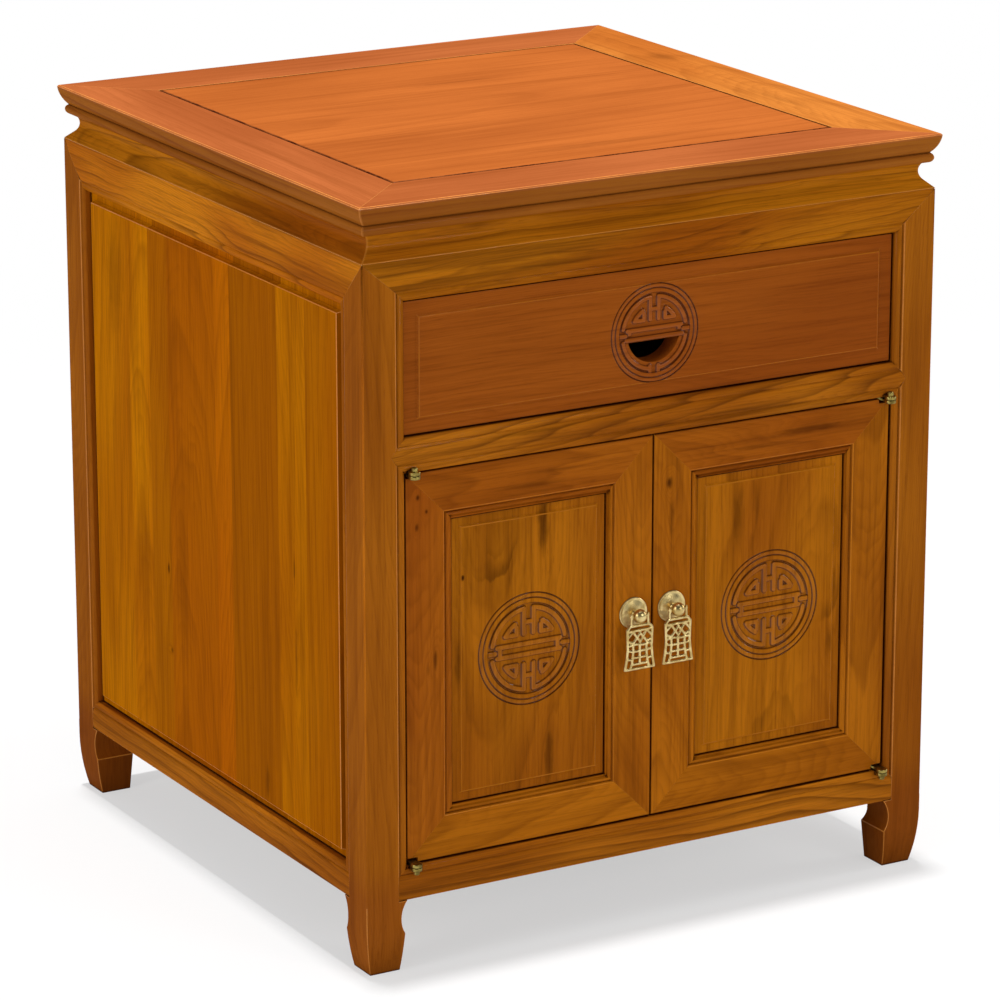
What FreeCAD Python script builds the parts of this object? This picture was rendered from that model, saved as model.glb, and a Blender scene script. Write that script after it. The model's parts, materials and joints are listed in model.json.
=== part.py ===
import FreeCAD, Part
import os
from math import cos, pi, sin, sqrt

vec = FreeCAD.Vector

# A square storage cabinet in the Ming manner: mitred frames with floating panels, a waisted
# crown moulding, shaped feet, one drawer and a pair of doors with brass pivot hinges.
# The front faces -Y and X runs to the right. The pieces are drawn about the middle of the
# carcass, and the origin is on the floor, under the middle of the outline, pulls included.

# Overall plan
top_width = 559.0
top_depth = 559.0
top_overhang = 3.5
post_width = 38.5

# Heights, from the floor up
foot_height = 63.0
bottom_rail_height = 29.0
door_opening_height = 337.5
mid_rail_height = 29.0
drawer_opening_height = 114.0
top_rail_height = 34.0
shoulder_height = 7.5
cove_height = 14.5
nosing_height = 8.5
cornice_height = 17.0

# Heights that differ on the two sides
side_top_rail_height = 40.0
side_bottom_rail_height = 27.0

# Carcass joinery
rail_thickness = 28.0
flap_depth = 12.0
mid_rail_point = 12.5
tenon_thickness = 8.5
tenon_length = 12.0
tenon_shoulder = 6.0
mortise_relief = 0.5

# Bead and quirk that run round every opening, and the swell of the rail faces
quirk_width = 1.4
quirk_depth = 1.6
bead_width = 6.6
bead_crest = 0.45
bead_fall = 2.2
rail_swell = 0.8
corner_round = 1.2

# Foot outline, measured in from the outer corner and up from the floor
foot_curve_height = 50.0
foot_toe_in = 6.3
foot_heel = 34.3
foot_cusp_width = 36.8
foot_cusp_height = 34.0
foot_scoop_width = 33.0
foot_scoop_height = 46.5

# Crown moulding, measured in from the carcass face
cornice_return = 3.9
nosing_reach = 1.3
nosing_return = 7.7
cove_depth = 10.9
shoulder_depth = 8.2
shoulder_lip = 1.2

# Top frame and its floating panel
top_member_width = 66.5
top_panel_gap = 1.8
top_panel_thickness = 13.0
top_tongue_drop = 6.0
top_tongue_thickness = 6.0
batten_width = 30.0
batten_height = 10.0
batten_spacing = 210.0

# Floating panels of the sides and the back
panel_groove_depth = 7.0
panel_play = 1.0
panel_tongue_depth = 10.5
panel_tongue_thickness = 6.0
panel_margin_depth = 7.2
panel_field_depth = 2.3
panel_margin = 8.2
panel_bevel = 1.0

# Floor of the cupboard
floor_thickness = 10.0
floor_rise = 13.0
notch_play = 0.3

# Drawer frame inside the carcass
runner_width = 15.5
runner_height = 17.5
guide_height = 18.0
guide_play = 0.8
runner_overlap = 15.5
dust_panel_thickness = 6.0
dust_panel_rise = 13.5
inner_rail_depth = 24.0
inner_rail_height = 29.0
kicker_height = 13.0
slide_play = 0.3
kicker_play = 0.8
stop_block_length = 14.0
stop_block_height = 12.0

# Drawer
drawer_gap = 1.5
face_recess = 3.5
drawer_front_thickness = 20.0
drawer_margin = 12.0
drawer_margin_drop = 1.8
drawer_side_thickness = 12.0
drawer_side_height = 98.0
drawer_side_inset = 1.0
drawer_back_air = 32.0
drawer_bottom_thickness = 5.0
drawer_bottom_rise = 9.0
drawer_groove_depth = 5.0
drawer_back_drop = 4.0
dovetail_count = 3
dovetail_length = 13.0
dovetail_slope_share = 0.16
dovetail_pin_share = 0.32

# Doors
door_gap = 1.5
meeting_gap = 1.4
meeting_bevel = 2.0
door_thickness = 20.0
door_member_width = 43.5
sticking_width = 7.5
sticking_quirk_width = 1.5
sticking_quirk_depth = 1.8
sticking_crest = 0.4
sticking_fall = 1.4
door_round = 0.8
door_tenon_thickness = 7.0
door_tenon_length = 22.0
door_groove_depth = 7.0
door_tongue_thickness = 5.5
door_tongue_depth = 9.0
door_margin_depth = 3.4
door_field_depth = 1.9
door_panel_margin = 8.2
door_panel_bevel = 1.5

# Carved roundels
door_roundel_diameter = 98.0
drawer_roundel_diameter = 85.0
roundel_groove_width = 3.2
roundel_groove_depth = 1.6
roundel_ground_share = 0.78
roundel_ground_depth = 1.8
finger_hole_share = 0.60
finger_hole_top_share = 0.15

# Brass pivot hinges
hinge_inset = 6.0
hinge_stand = 4.5
knuckle_diameter = 10.0
knuckle_height = 3.2
knuckle_gap = 0.2
leaf_thickness = 2.2
leaf_width = 11.0
leaf_length = 30.0
leaf_setback = 4.5
neck_width = 6.0
notch_width = 11.5
notch_height = 4.0
pin_diameter = 5.5
pin_play = 0.05
pin_proud = 3.6

# Magnetic catch
catch_block_width = 64.0
catch_block_depth = 14.0
catch_block_drop = 13.0
catch_block_rise = 10.0
magnet_width = 10.0
magnet_height = 7.0
magnet_length = 8.0
magnet_offset = 16.0
magnet_drop = 7.5
catch_air = 0.3
strike_width = 16.0
strike_height = 10.0
strike_thickness = 1.0

# Door pulls
pull_offset = 18.8
pull_rise = 15.5
rosette_diameter = 27.0
rosette_rim = 0.8
rosette_dome = 2.8
knob_stand = 10.5
knob_ball_diameter = 12.0
knob_neck_diameter = 6.0
knob_shank_width = 3.6
turned_sides = 24
pull_pin_diameter = 2.3
pull_pin_play = 0.08
pendant_top_width = 27.0
pendant_waist_width = 25.5
pendant_foot_width = 31.0
pendant_drop = 47.0
pendant_head_drop = 8.5
pendant_shoulder = 4.5
pendant_thickness = 2.4
pendant_border = 2.2
pendant_bar = 1.7
pendant_rows = 4
pendant_arm_width = 2.4
pendant_arm_inner = 6.6

# One overrun carries every cut past the face that it opens
overrun = 4.0

# Levels and half sizes that follow
half_width = top_width / 2 - top_overhang
half_depth = top_depth / 2 - top_overhang
door_low = foot_height + bottom_rail_height
door_high = door_low + door_opening_height
drawer_low = door_high + mid_rail_height
drawer_high = drawer_low + drawer_opening_height
post_top = drawer_high + top_rail_height
waist_top = post_top + shoulder_height + cove_height
cornice_low = waist_top + nosing_height
height = cornice_low + cornice_height
side_low = foot_height + side_bottom_rail_height
side_high = post_top - side_top_rail_height
edge_width = quirk_width + bead_width
opening_half = half_width - post_width
front_reach = half_depth - face_recess + knob_stand + knob_ball_diameter / 2
back_reach = half_depth + top_overhang
centre_shift = (front_reach - back_reach) / 2

FRONT, LEFT, RIGHT, BACK = 0, -90, 90, 180


def node(name, *solids):
    shape = (solids[0] if len(solids) == 1 else Part.makeCompound(list(solids))).copy()
    shape.translate(vec(0, centre_shift, 0))
    shape.exportStep("parts/" + name + ".step")


def block(x_low, x_high, y_low, y_high, z_low, z_high):
    corner = vec(x_low, y_low, z_low)
    return Part.makeBox(x_high - x_low, y_high - y_low, z_high - z_low, corner)


def cylinder(start, end, diameter):
    axis = end - start
    return Part.makeCylinder(diameter / 2, axis.Length, start, axis)


def outline(plane, level, moves):
    """A flat face from points (a, b) and arcs (a_mid, b_mid, a_end, b_end)."""
    place = {
        "xy": lambda a, b: vec(a, b, level),
        "xz": lambda a, b: vec(a, level, b),
        "yz": lambda a, b: vec(level, a, b),
    }[plane]
    start = here = place(*moves[0])
    edges = []
    for move in moves[1:]:
        end = place(*move[-2:])
        if len(move) == 4:
            edges.append(Part.Arc(here, place(*move[:2]), end).toShape())
        else:
            edges.append(Part.makeLine(here, end))
        here = end
    if (here - start).Length > 0:
        edges.append(Part.makeLine(here, start))
    return Part.Face(Part.Wire(edges))


def run_x(moves, low, high):
    return outline("yz", low, moves).extrude(vec(high - low, 0, 0))


def run_y(moves, low, high):
    return outline("xz", low, moves).extrude(vec(0, high - low, 0))


def run_z(moves, low, high):
    return outline("xy", low, moves).extrude(vec(0, 0, high - low))


def facing(shape, side):
    turned = shape.copy()
    turned.rotate(vec(0, 0, 0), vec(0, 0, 1), side)
    return turned


def across_x(shape):
    return shape.mirror(vec(0, 0, 0), vec(1, 0, 0))


def across_y(shape):
    return shape.mirror(vec(0, 0, 0), vec(0, 1, 0))


def across_z(shape, level):
    return shape.mirror(vec(0, 0, level), vec(0, 0, 1))


def whole(shape):
    return shape.removeSplitter().Solids[0]


# Frame members. Each is drawn as if it faced the front and is then turned to its side.

def beaded_edge(level, way):
    """The bead and quirk at one edge of a face, from the edge inwards."""
    return [
        (bead_fall, level),
        (bead_crest, level + way * bead_width / 2, quirk_depth, level + way * bead_width),
        (rail_swell, level + way * edge_width),
    ]


def rail_section(face, low, high, bead_low, bead_high):
    middle = (low + high) / 2
    moves = beaded_edge(low, 1) if bead_low else [(rail_swell, low)]
    upper = beaded_edge(high, -1) if bead_high else [(rail_swell, high)]
    moves.append((0, middle) + upper[-1])
    if bead_high:
        moves.append((quirk_depth, high - bead_width))
        moves.append((bead_crest, high - bead_width / 2, bead_fall, high))
    moves += [(rail_thickness, high), (rail_thickness, low)]
    shifted = []
    for move in moves:
        shifted.append(tuple(value + face if index % 2 == 0 else value for index, value in enumerate(move)))
    return shifted


def rail_end(low, high, kind):
    """What a rail covers on the face of the post, as (reach into the post, height)."""
    if kind == "mitre":
        return [(0, low), (edge_width, low + edge_width), (post_width, high), (0, high)]
    if kind == "point":
        middle = (low + high) / 2
        return [
            (0, low),
            (edge_width, low + edge_width),
            (mid_rail_point, middle),
            (edge_width, high - edge_width),
            (0, high),
        ]
    return [(0, high), (edge_width, high - edge_width), (edge_width, low), (0, low)]


def rail_ends(half_span, face, low, high, kind, stand, relief):
    """The lapped ends and stub tenons of a rail, at both posts."""
    inner = half_span - post_width
    points = [(inner + reach, level) for reach, level in rail_end(low, high, kind)]
    lap = run_y(points, face - stand, face + flap_depth)
    tenon = block(
        inner,
        inner + tenon_length + relief,
        face + flap_depth,
        face + flap_depth + tenon_thickness,
        low + tenon_shoulder,
        high - tenon_shoulder,
    )
    return [lap, tenon, across_x(lap), across_x(tenon)]


def mitre_space(half_span, half_face, low, high):
    """The wedge of plan that belongs to one side of a frame mitred at its corners."""
    inward = top_member_width
    outward = top_overhang + overrun
    return run_z(
        [
            (-half_span - outward, -half_face - outward),
            (half_span + outward, -half_face - outward),
            (half_span - inward, -half_face + inward),
            (inward - half_span, -half_face + inward),
        ],
        low,
        high,
    )


def rail(half_span, half_face, low, high, kind, bead_low, bead_high):
    face = -half_face
    inner = half_span - post_width
    strip = run_x(rail_section(face, low, high, bead_low, bead_high), -half_span, half_span)
    middle = block(-inner, inner, face, face + rail_thickness, low, high)
    reach = middle.multiFuse(rail_ends(half_span, face, low, high, kind, 0, 0))
    shape = strip.common(reach)
    return whole(shape.common(mitre_space(half_span, half_face, low, high)))


def rail_housing(half_span, half_face, low, high, kind):
    return rail_ends(half_span, -half_face, low, high, kind, overrun, mortise_relief)


top_rail_place = (drawer_high, post_top, "mitre")
mid_rail_place = (door_high, drawer_low, "point")
bottom_rail_place = (foot_height, door_low, "square")
side_top_place = (side_high, post_top, "mitre")
side_bottom_place = (foot_height, side_low, "square")


def post_section():
    """Plan of the front left post, beaded on its two outer faces."""
    w = post_width
    corner = corner_round * (1 - cos(pi / 4))
    moves = [
        (corner_round, 0),
        (w - edge_width, 0),
        (w - bead_width, quirk_depth),
        (w - bead_width / 2, bead_crest, w, bead_fall),
        (w, w),
        (bead_fall, w),
        (bead_crest, w - bead_width / 2, quirk_depth, w - bead_width),
        (0, w - edge_width),
        (0, corner_round),
        (corner, corner, corner_round, 0),
    ]
    left, front = -half_width, -half_depth
    shifted = []
    for move in moves:
        shifted.append(tuple(value + (left, front)[index % 2] for index, value in enumerate(move)))
    return shifted


def foot_outline(face):
    """Outer curve, toe, straight heel, cusp and scoop, as seen square on."""
    return [
        (face, foot_height),
        (face, foot_curve_height),
        (face + foot_toe_in / 4, foot_curve_height / 2, face + foot_toe_in, 0),
        (face + foot_heel, 0),
        (face + foot_cusp_width, foot_cusp_height),
        (
            face + (foot_cusp_width + 3 * foot_scoop_width) / 4,
            (foot_cusp_height + foot_scoop_height) / 2,
            face + foot_scoop_width,
            foot_scoop_height,
        ),
        (
            face + (post_width + 4 * foot_scoop_width) / 5,
            (foot_height + foot_scoop_height) / 2,
            face + post_width,
            foot_height,
        ),
    ]


def foot():
    seen_from_front = run_y(foot_outline(-half_width), -half_depth, post_width - half_depth)
    seen_from_side = run_x(foot_outline(-half_depth), -half_width, post_width - half_width)
    return seen_from_front.common(seen_from_side)


def post(rails_on_width):
    shaft = run_z(post_section(), foot_height, post_top)
    housings = []
    for place in rails_on_width:
        housings += rail_housing(half_width, half_depth, *place)
    for place in (side_top_place, side_bottom_place):
        housings += [facing(solid, LEFT) for solid in rail_housing(half_depth, half_width, *place)]
    shaft = shaft.cut(Part.makeCompound(housings))
    wide_groove, side_groove = post_grooves()
    return whole(shaft.fuse(foot()).cut(wide_groove).cut(side_groove))


def post_grooves():
    """Grooves for the tongues of the side panel and of the panel on the width side."""
    inner_x = post_width - half_width
    inner_y = post_width - half_depth
    side_groove = block(
        panel_tongue_depth - half_width,
        panel_tongue_depth + panel_tongue_thickness - half_width,
        inner_y - panel_groove_depth,
        inner_y + overrun,
        side_low - panel_groove_depth,
        side_high + panel_groove_depth,
    )
    wide_groove = block(
        inner_x - panel_groove_depth,
        inner_x + overrun,
        panel_tongue_depth - half_depth,
        panel_tongue_depth + panel_tongue_thickness - half_depth,
        door_low - panel_groove_depth,
        drawer_high + panel_groove_depth,
    )
    return wide_groove, side_groove


def rail_groove(half_span, half_face, level, way):
    """A panel groove in the edge of a rail at a level, opening up (1) or down (-1)."""
    reach = half_span - post_width + panel_groove_depth
    low, high = sorted((level + way * overrun, level - way * panel_groove_depth))
    front = panel_tongue_depth - half_face
    return block(-reach, reach, front, front + panel_tongue_thickness, low, high)


def raised_panel(half_open, face, low, high, groove, tongue_at, tongue, margin_at, field_at, margin, bevel):
    """A floating panel: a thin tongue, a margin that fills the opening and a raised field."""
    reach = groove - panel_play
    board = block(
        -half_open - reach,
        half_open + reach,
        face + tongue_at,
        face + tongue_at + tongue,
        low - reach,
        high + reach,
    )
    plate = block(
        panel_play - half_open,
        half_open - panel_play,
        face + margin_at,
        face + tongue_at,
        low + panel_play,
        high - panel_play,
    )
    field_back = rectangle(half_open - margin, low + margin, high - margin, face + margin_at)
    field_front = rectangle(
        half_open - margin - bevel,
        low + margin + bevel,
        high - margin - bevel,
        face + field_at,
    )
    field = Part.makeLoft([field_back, field_front], True, True)
    return whole(board.multiFuse([plate, field]))


def rectangle(half, low, high, depth):
    points = [(-half, low), (half, low), (half, high), (-half, high), (-half, low)]
    return Part.makePolygon([vec(x, depth, z) for x, z in points])


def wall_panel(half_span, half_face, low, high):
    return raised_panel(
        half_span - post_width,
        -half_face,
        low,
        high,
        panel_groove_depth,
        panel_tongue_depth,
        panel_tongue_thickness,
        panel_margin_depth,
        panel_field_depth,
        panel_margin,
        panel_bevel,
    )


def floor_groove(half_span, half_face):
    inner = half_span - post_width
    back = rail_thickness - half_face
    low = foot_height + floor_rise
    return block(-inner, inner, back - panel_groove_depth, back + overrun, low, low + floor_thickness)


def floor_board():
    reach_x = half_width - rail_thickness + panel_groove_depth - panel_play
    reach_y = half_depth - rail_thickness + panel_groove_depth - panel_play
    low = foot_height + floor_rise
    board = block(-reach_x, reach_x, -reach_y, reach_y, low, low + floor_thickness)
    corner_x = half_width - post_width - notch_play
    corner_y = half_depth - post_width - notch_play
    for side_x in (-1, 1):
        for side_y in (-1, 1):
            xs = sorted((side_x * corner_x, side_x * (reach_x + overrun)))
            ys = sorted((side_y * corner_y, side_y * (reach_y + overrun)))
            notch = block(*xs, *ys, low - overrun, low + floor_thickness + overrun)
            board = board.cut(notch)
    return board


# Crown: the waist moulding stands on the rails, the top frame on the waist

def waist(half_span, half_face):
    face = -half_face
    shoulder_top = post_top + shoulder_height
    moves = [
        (face, post_top),
        (face + shoulder_lip, post_top + shoulder_lip),
        (face + shoulder_depth, shoulder_top),
        (face + cove_depth, (shoulder_top + waist_top) / 2, face + nosing_return, waist_top),
        (face + rail_thickness, waist_top),
        (face + rail_thickness, post_top),
    ]
    strip = run_x(moves, -half_span, half_span)
    return whole(strip.common(mitre_space(half_span, half_face, post_top, waist_top)))


def top_member(half_span, half_face):
    face = -half_face
    back = face - top_overhang + top_member_width
    groove_low = height - top_tongue_drop - top_tongue_thickness
    moves = [
        (face + nosing_return, waist_top),
        (face + nosing_reach, waist_top + nosing_height / 2, face + cornice_return, cornice_low),
        (
            face - top_overhang / 2,
            (cornice_low + height) / 2,
            face - top_overhang,
            height - corner_round,
        ),
        (face - top_overhang + corner_round, height),
        (back, height),
        (back, height - top_tongue_drop),
        (back - panel_groove_depth, height - top_tongue_drop),
        (back - panel_groove_depth, groove_low),
        (back, groove_low),
        (back, waist_top),
    ]
    long = half_span + top_overhang
    strip = run_x(moves, -long, long)
    return whole(strip.common(mitre_space(half_span, half_face, waist_top, height)))


top_open_x = top_width / 2 - top_member_width
top_open_y = top_depth / 2 - top_member_width


def top_board():
    tongue_high = height - top_tongue_drop
    tongue_low = tongue_high - top_tongue_thickness
    reach = panel_groove_depth - panel_play
    tongue = block(
        -top_open_x - reach,
        top_open_x + reach,
        -top_open_y - reach,
        top_open_y + reach,
        tongue_low,
        tongue_high,
    )
    field = block(
        top_panel_gap - top_open_x,
        top_open_x - top_panel_gap,
        top_panel_gap - top_open_y,
        top_open_y - top_panel_gap,
        height - top_panel_thickness,
        height,
    )
    return whole(tongue.fuse(field))


def battens(extra=0.0):
    """Two cross battens under the top panel, stub tenoned into the frame."""
    reach = top_open_y + tenon_length / 2 + extra
    high = height - top_panel_thickness
    low = high - batten_height
    return [
        block(x - batten_width / 2, x + batten_width / 2, -reach, reach, low, high)
        for x in (-batten_spacing / 2, batten_spacing / 2)
    ]


# Carcass

def build_carcass():
    leaf_cuts = carcass_leaf_pockets()
    front_post = post((top_rail_place, mid_rail_place, bottom_rail_place))
    back_post = post((top_rail_place, bottom_rail_place))
    node("front_left_post", front_post)
    node("front_right_post", across_x(front_post))
    node("back_left_post", across_y(back_post))
    node("back_right_post", across_x(across_y(back_post)))

    top_rail = rail(half_width, half_depth, *top_rail_place, True, False)
    grooved_top = top_rail.cut(rail_groove(half_width, half_depth, drawer_high, -1))
    bottom_rail = rail(half_width, half_depth, *bottom_rail_place, False, True)
    bottom_rail = bottom_rail.cut(floor_groove(half_width, half_depth))
    grooved_bottom = bottom_rail.cut(rail_groove(half_width, half_depth, door_low, 1))
    mid_rail = rail(half_width, half_depth, *mid_rail_place, True, True).cut(dust_groove())
    node("front_top_rail", top_rail)
    node("front_mid_rail", mid_rail.cut(leaf_cuts))
    node("front_bottom_rail", bottom_rail.cut(leaf_cuts))
    node("back_top_rail", facing(grooved_top, BACK))
    node("back_bottom_rail", facing(grooved_bottom, BACK))

    side_top = rail(half_depth, half_width, *side_top_place, True, False)
    side_top = side_top.cut(rail_groove(half_depth, half_width, side_high, -1))
    side_bottom = rail(half_depth, half_width, *side_bottom_place, False, True)
    side_bottom = side_bottom.cut(rail_groove(half_depth, half_width, side_low, 1))
    side_bottom = side_bottom.cut(floor_groove(half_depth, half_width))
    side_panel = wall_panel(half_depth, half_width, side_low, side_high)
    for name, side in (("left", LEFT), ("right", RIGHT)):
        node(name + "_top_rail", facing(side_top, side))
        node(name + "_bottom_rail", facing(side_bottom, side))
        node(name + "_side_panel", facing(side_panel, side))
        node("waist_" + name, facing(waist(half_depth, half_width), side))
        node("top_frame_" + name, facing(top_member(half_depth, half_width), side))
    node("back_panel", facing(wall_panel(half_width, half_depth, door_low, drawer_high), BACK))
    node("bottom_panel", floor_board())

    sockets = Part.makeCompound(battens(mortise_relief))
    for name, side in (("front", FRONT), ("back", BACK)):
        node("waist_" + name, facing(waist(half_width, half_depth), side))
        member = facing(top_member(half_width, half_depth), side)
        node("top_frame_" + name, member.cut(sockets))
    node("top_panel", top_board())
    node("top_battens", *battens())


# Drawer frame: runners, dust panel, inner rail and kickers

runner_high = drawer_low
runner_low = runner_high - runner_height
runner_inner = opening_half - runner_overlap
drawer_back_face = face_recess - half_depth + drawer_front_thickness
drawer_end = half_depth - post_width - drawer_back_air
drawer_side_outer = opening_half - drawer_gap - drawer_side_inset
inner_rail_front = half_depth - post_width - inner_rail_depth / 2


def dust_low():
    return door_high + dust_panel_rise


def dust_groove():
    back = rail_thickness - half_depth
    return block(
        -opening_half,
        opening_half,
        back - panel_groove_depth,
        back + overrun,
        dust_low(),
        dust_low() + dust_panel_thickness,
    )


def build_drawer_frame():
    outer = opening_half + runner_width
    guide = drawer_side_outer + guide_play
    front_end = post_width - half_depth
    back_end = half_depth - post_width
    low = dust_low()
    section = [
        (-outer, runner_low),
        (-runner_inner, runner_low),
        (-runner_inner, runner_high),
        (-guide, runner_high),
        (-guide, runner_high + guide_height),
        (-outer, runner_high + guide_height),
    ]
    stop_front = drawer_end + slide_play
    stop = block(
        -guide,
        -runner_inner,
        stop_front,
        stop_front + stop_block_length,
        runner_high,
        runner_high + stop_block_height,
    )
    groove = block(
        -runner_inner - panel_groove_depth,
        overrun - runner_inner,
        front_end - overrun,
        back_end + overrun,
        low,
        low + dust_panel_thickness,
    )
    runner = whole(run_y(section, front_end, back_end).fuse(stop).cut(groove))
    inner_rail = block(
        -opening_half,
        opening_half,
        inner_rail_front,
        inner_rail_front + inner_rail_depth,
        drawer_low - inner_rail_height,
        runner_low,
    )
    middle = block(
        -runner_inner,
        runner_inner,
        inner_rail_front,
        inner_rail_front + inner_rail_depth,
        runner_low,
        drawer_low,
    )
    rear_groove = block(
        -runner_inner,
        runner_inner,
        inner_rail_front - overrun,
        inner_rail_front + panel_groove_depth,
        low,
        low + dust_panel_thickness,
    )
    reach = panel_groove_depth - panel_play
    dust = block(
        -runner_inner - reach,
        runner_inner + reach,
        front_end,
        inner_rail_front,
        low,
        low + dust_panel_thickness,
    )
    dust_ends = block(
        -runner_inner,
        runner_inner,
        rail_thickness - half_depth - reach,
        inner_rail_front + reach,
        low,
        low + dust_panel_thickness,
    )
    kicker_low = drawer_low + slide_play + drawer_side_height + kicker_play
    kicker = block(
        rail_thickness - half_width,
        -runner_inner,
        front_end,
        back_end,
        kicker_low,
        kicker_low + kicker_height,
    )
    node("drawer_runners", runner, across_x(runner))
    node("drawer_kickers", kicker, across_x(kicker))
    node("inner_back_rail", whole(inner_rail.fuse(middle).cut(rear_groove)))
    node("dust_panel", whole(dust.fuse(dust_ends)))


# Drawer

def dovetails(root, way, length, low, high):
    """Tails in the side view, narrow at the root and wide at the tip."""
    pitch = (high - low) / dovetail_count
    pin = pitch * dovetail_pin_share
    flare = length * dovetail_slope_share
    tails = []
    for index in range(dovetail_count):
        bottom = low + pitch * index + pin / 2
        top = bottom + pitch - pin
        tails.append([
            (root, bottom + flare),
            (root + way * length, bottom),
            (root + way * length, top),
            (root, top - flare),
        ])
    return tails


def build_drawer():
    front_face = face_recess - half_depth
    low = drawer_low + drawer_gap
    high = drawer_high - drawer_gap
    half_front = opening_half - drawer_gap
    side_low_level = drawer_low + slide_play
    side_high_level = side_low_level + drawer_side_height
    outer = drawer_side_outer
    inner = outer - drawer_side_thickness
    back_front = drawer_end - drawer_side_thickness
    bottom_low = side_low_level + drawer_bottom_rise
    bottom_high = bottom_low + drawer_bottom_thickness

    plate = block(
        -half_front,
        half_front,
        front_face + drawer_margin_drop,
        drawer_back_face,
        low,
        high,
    )
    field_back = rectangle(
        half_front - drawer_margin,
        low + drawer_margin,
        high - drawer_margin,
        front_face + drawer_margin_drop,
    )
    field_front = rectangle(
        half_front - drawer_margin - drawer_margin_drop,
        low + drawer_margin + drawer_margin_drop,
        high - drawer_margin - drawer_margin_drop,
        front_face,
    )
    front = plate.fuse(Part.makeLoft([field_back, field_front], True, True))
    front = carve_roundel(front, 0, front_face, (low + high) / 2, drawer_roundel_diameter)
    front = front.cut(finger_hole((low + high) / 2))

    body = block(-outer, -inner, drawer_back_face, back_front, side_low_level, side_high_level)
    front_tails = [
        run_x(points, -outer, -inner)
        for points in dovetails(drawer_back_face, -1, dovetail_length, low + drawer_gap, side_high_level)
    ]
    back_tails = [
        run_x(points, -outer, -inner)
        for points in dovetails(back_front, 1, drawer_side_thickness, bottom_high, side_high_level)
    ]
    floor = block(
        -inner - drawer_groove_depth,
        inner + drawer_groove_depth,
        drawer_back_face - drawer_groove_depth,
        drawer_end,
        bottom_low,
        bottom_high,
    )
    left_side = whole(body.multiFuse(front_tails + back_tails).cut(floor))
    right_side = across_x(left_side)
    back = block(-outer, outer, back_front, drawer_end, bottom_high, side_high_level - drawer_back_drop)
    sides = Part.makeCompound([left_side, right_side])
    node("drawer_front", whole(front.cut(sides).cut(floor)))
    node("drawer_left_side", left_side)
    node("drawer_right_side", right_side)
    node("drawer_back", whole(back.cut(sides)))
    node("drawer_bottom", floor)


def carve_roundel(board, x, face, z, diameter):
    """The round groove that frames the carving, and the sunk ground of the fret."""
    radius = diameter / 2
    middle = radius - roundel_groove_width / 2
    groove = outline(
        "xz",
        0,
        [(middle - roundel_groove_width / 2, 0), (middle, roundel_groove_depth), (radius, 0)],
    )
    groove = groove.revolve(vec(0, 0, 0), vec(0, 0, 1), 360)
    groove.rotate(vec(0, 0, 0), vec(1, 0, 0), -90)
    groove.translate(vec(x, face, z))
    board = board.cut(groove)
    ground = cylinder(
        vec(x, face - overrun, z),
        vec(x, face + roundel_ground_depth, z),
        diameter * roundel_ground_share,
    )
    return board.cut(ground)


def finger_hole(z):
    """A hole for the fingertips under the double bar of the drawer's roundel."""
    radius = drawer_roundel_diameter / 2 * finger_hole_share
    top = drawer_roundel_diameter / 2 * finger_hole_top_share
    side = sqrt(radius * radius - top * top)
    moves = [(-side, z - top), (0, z - radius, side, z - top)]
    front = -half_depth
    return run_y(moves, front, drawer_back_face + overrun)


# Doors

door_face = face_recess - half_depth
door_back = door_face + door_thickness
door_bottom = door_low + door_gap
door_top = door_high - door_gap
door_outer = opening_half - door_gap
door_inner = meeting_gap / 2
hinge_x = opening_half - hinge_inset
hinge_y = -half_depth - hinge_stand
hinge_middle = door_high - door_gap / 2
door_middle = (door_low + door_high) / 2
door_centre_x = (door_outer + door_inner) / 2
door_half = (door_outer - door_inner) / 2


def door_frame_section(outer, way):
    """Section of a door member across its face, from the outer edge to the bead and quirk."""
    flat = outer + way * (door_member_width - sticking_width)
    edge = outer + way * door_member_width
    quirk = flat + way * sticking_quirk_width
    crest = (quirk + edge) / 2
    return [
        (outer, door_back),
        (outer, door_face + door_round),
        (outer + way * door_round, door_face),
        (flat, door_face),
        (quirk, door_face + sticking_quirk_depth),
        (crest, door_face + sticking_crest, edge, door_face + sticking_fall),
        (edge, door_back),
    ]


def door_wedge(low_side):
    """The part of the door that belongs to the stile (True) or the rail, split on the mitres."""
    x_low, x_high = door_centre_x - door_half, door_centre_x + door_half
    w = door_member_width
    corner = [(x_low, door_bottom), (x_low + w, door_bottom + w)]
    if low_side:
        return corner + [(x_low + w, door_top - w), (x_low, door_top)]
    return corner + [(x_high - w, door_bottom + w), (x_high, door_bottom)]


def panel_groove_ring():
    """The groove round the inside of the door frame for the tongue of the panel."""
    half = door_half - door_member_width + door_groove_depth
    low = door_bottom + door_member_width - door_groove_depth
    high = door_top - door_member_width + door_groove_depth
    front = door_face + door_tongue_depth
    return block(
        door_centre_x - half,
        door_centre_x + half,
        front,
        front + door_tongue_thickness,
        low,
        high,
    )


def door_tenons(relief):
    """Tenons of the door rails, hidden behind the mitres and let into the stiles."""
    front = door_face + door_tongue_depth
    half = door_half - door_member_width + door_tenon_length + relief
    inset = door_groove_depth
    low_tenon = block(
        door_centre_x - half,
        door_centre_x + half,
        front,
        front + door_tenon_thickness,
        door_bottom + inset,
        door_bottom + door_member_width - door_groove_depth,
    )
    return low_tenon, across_z(low_tenon, door_middle)


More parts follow.
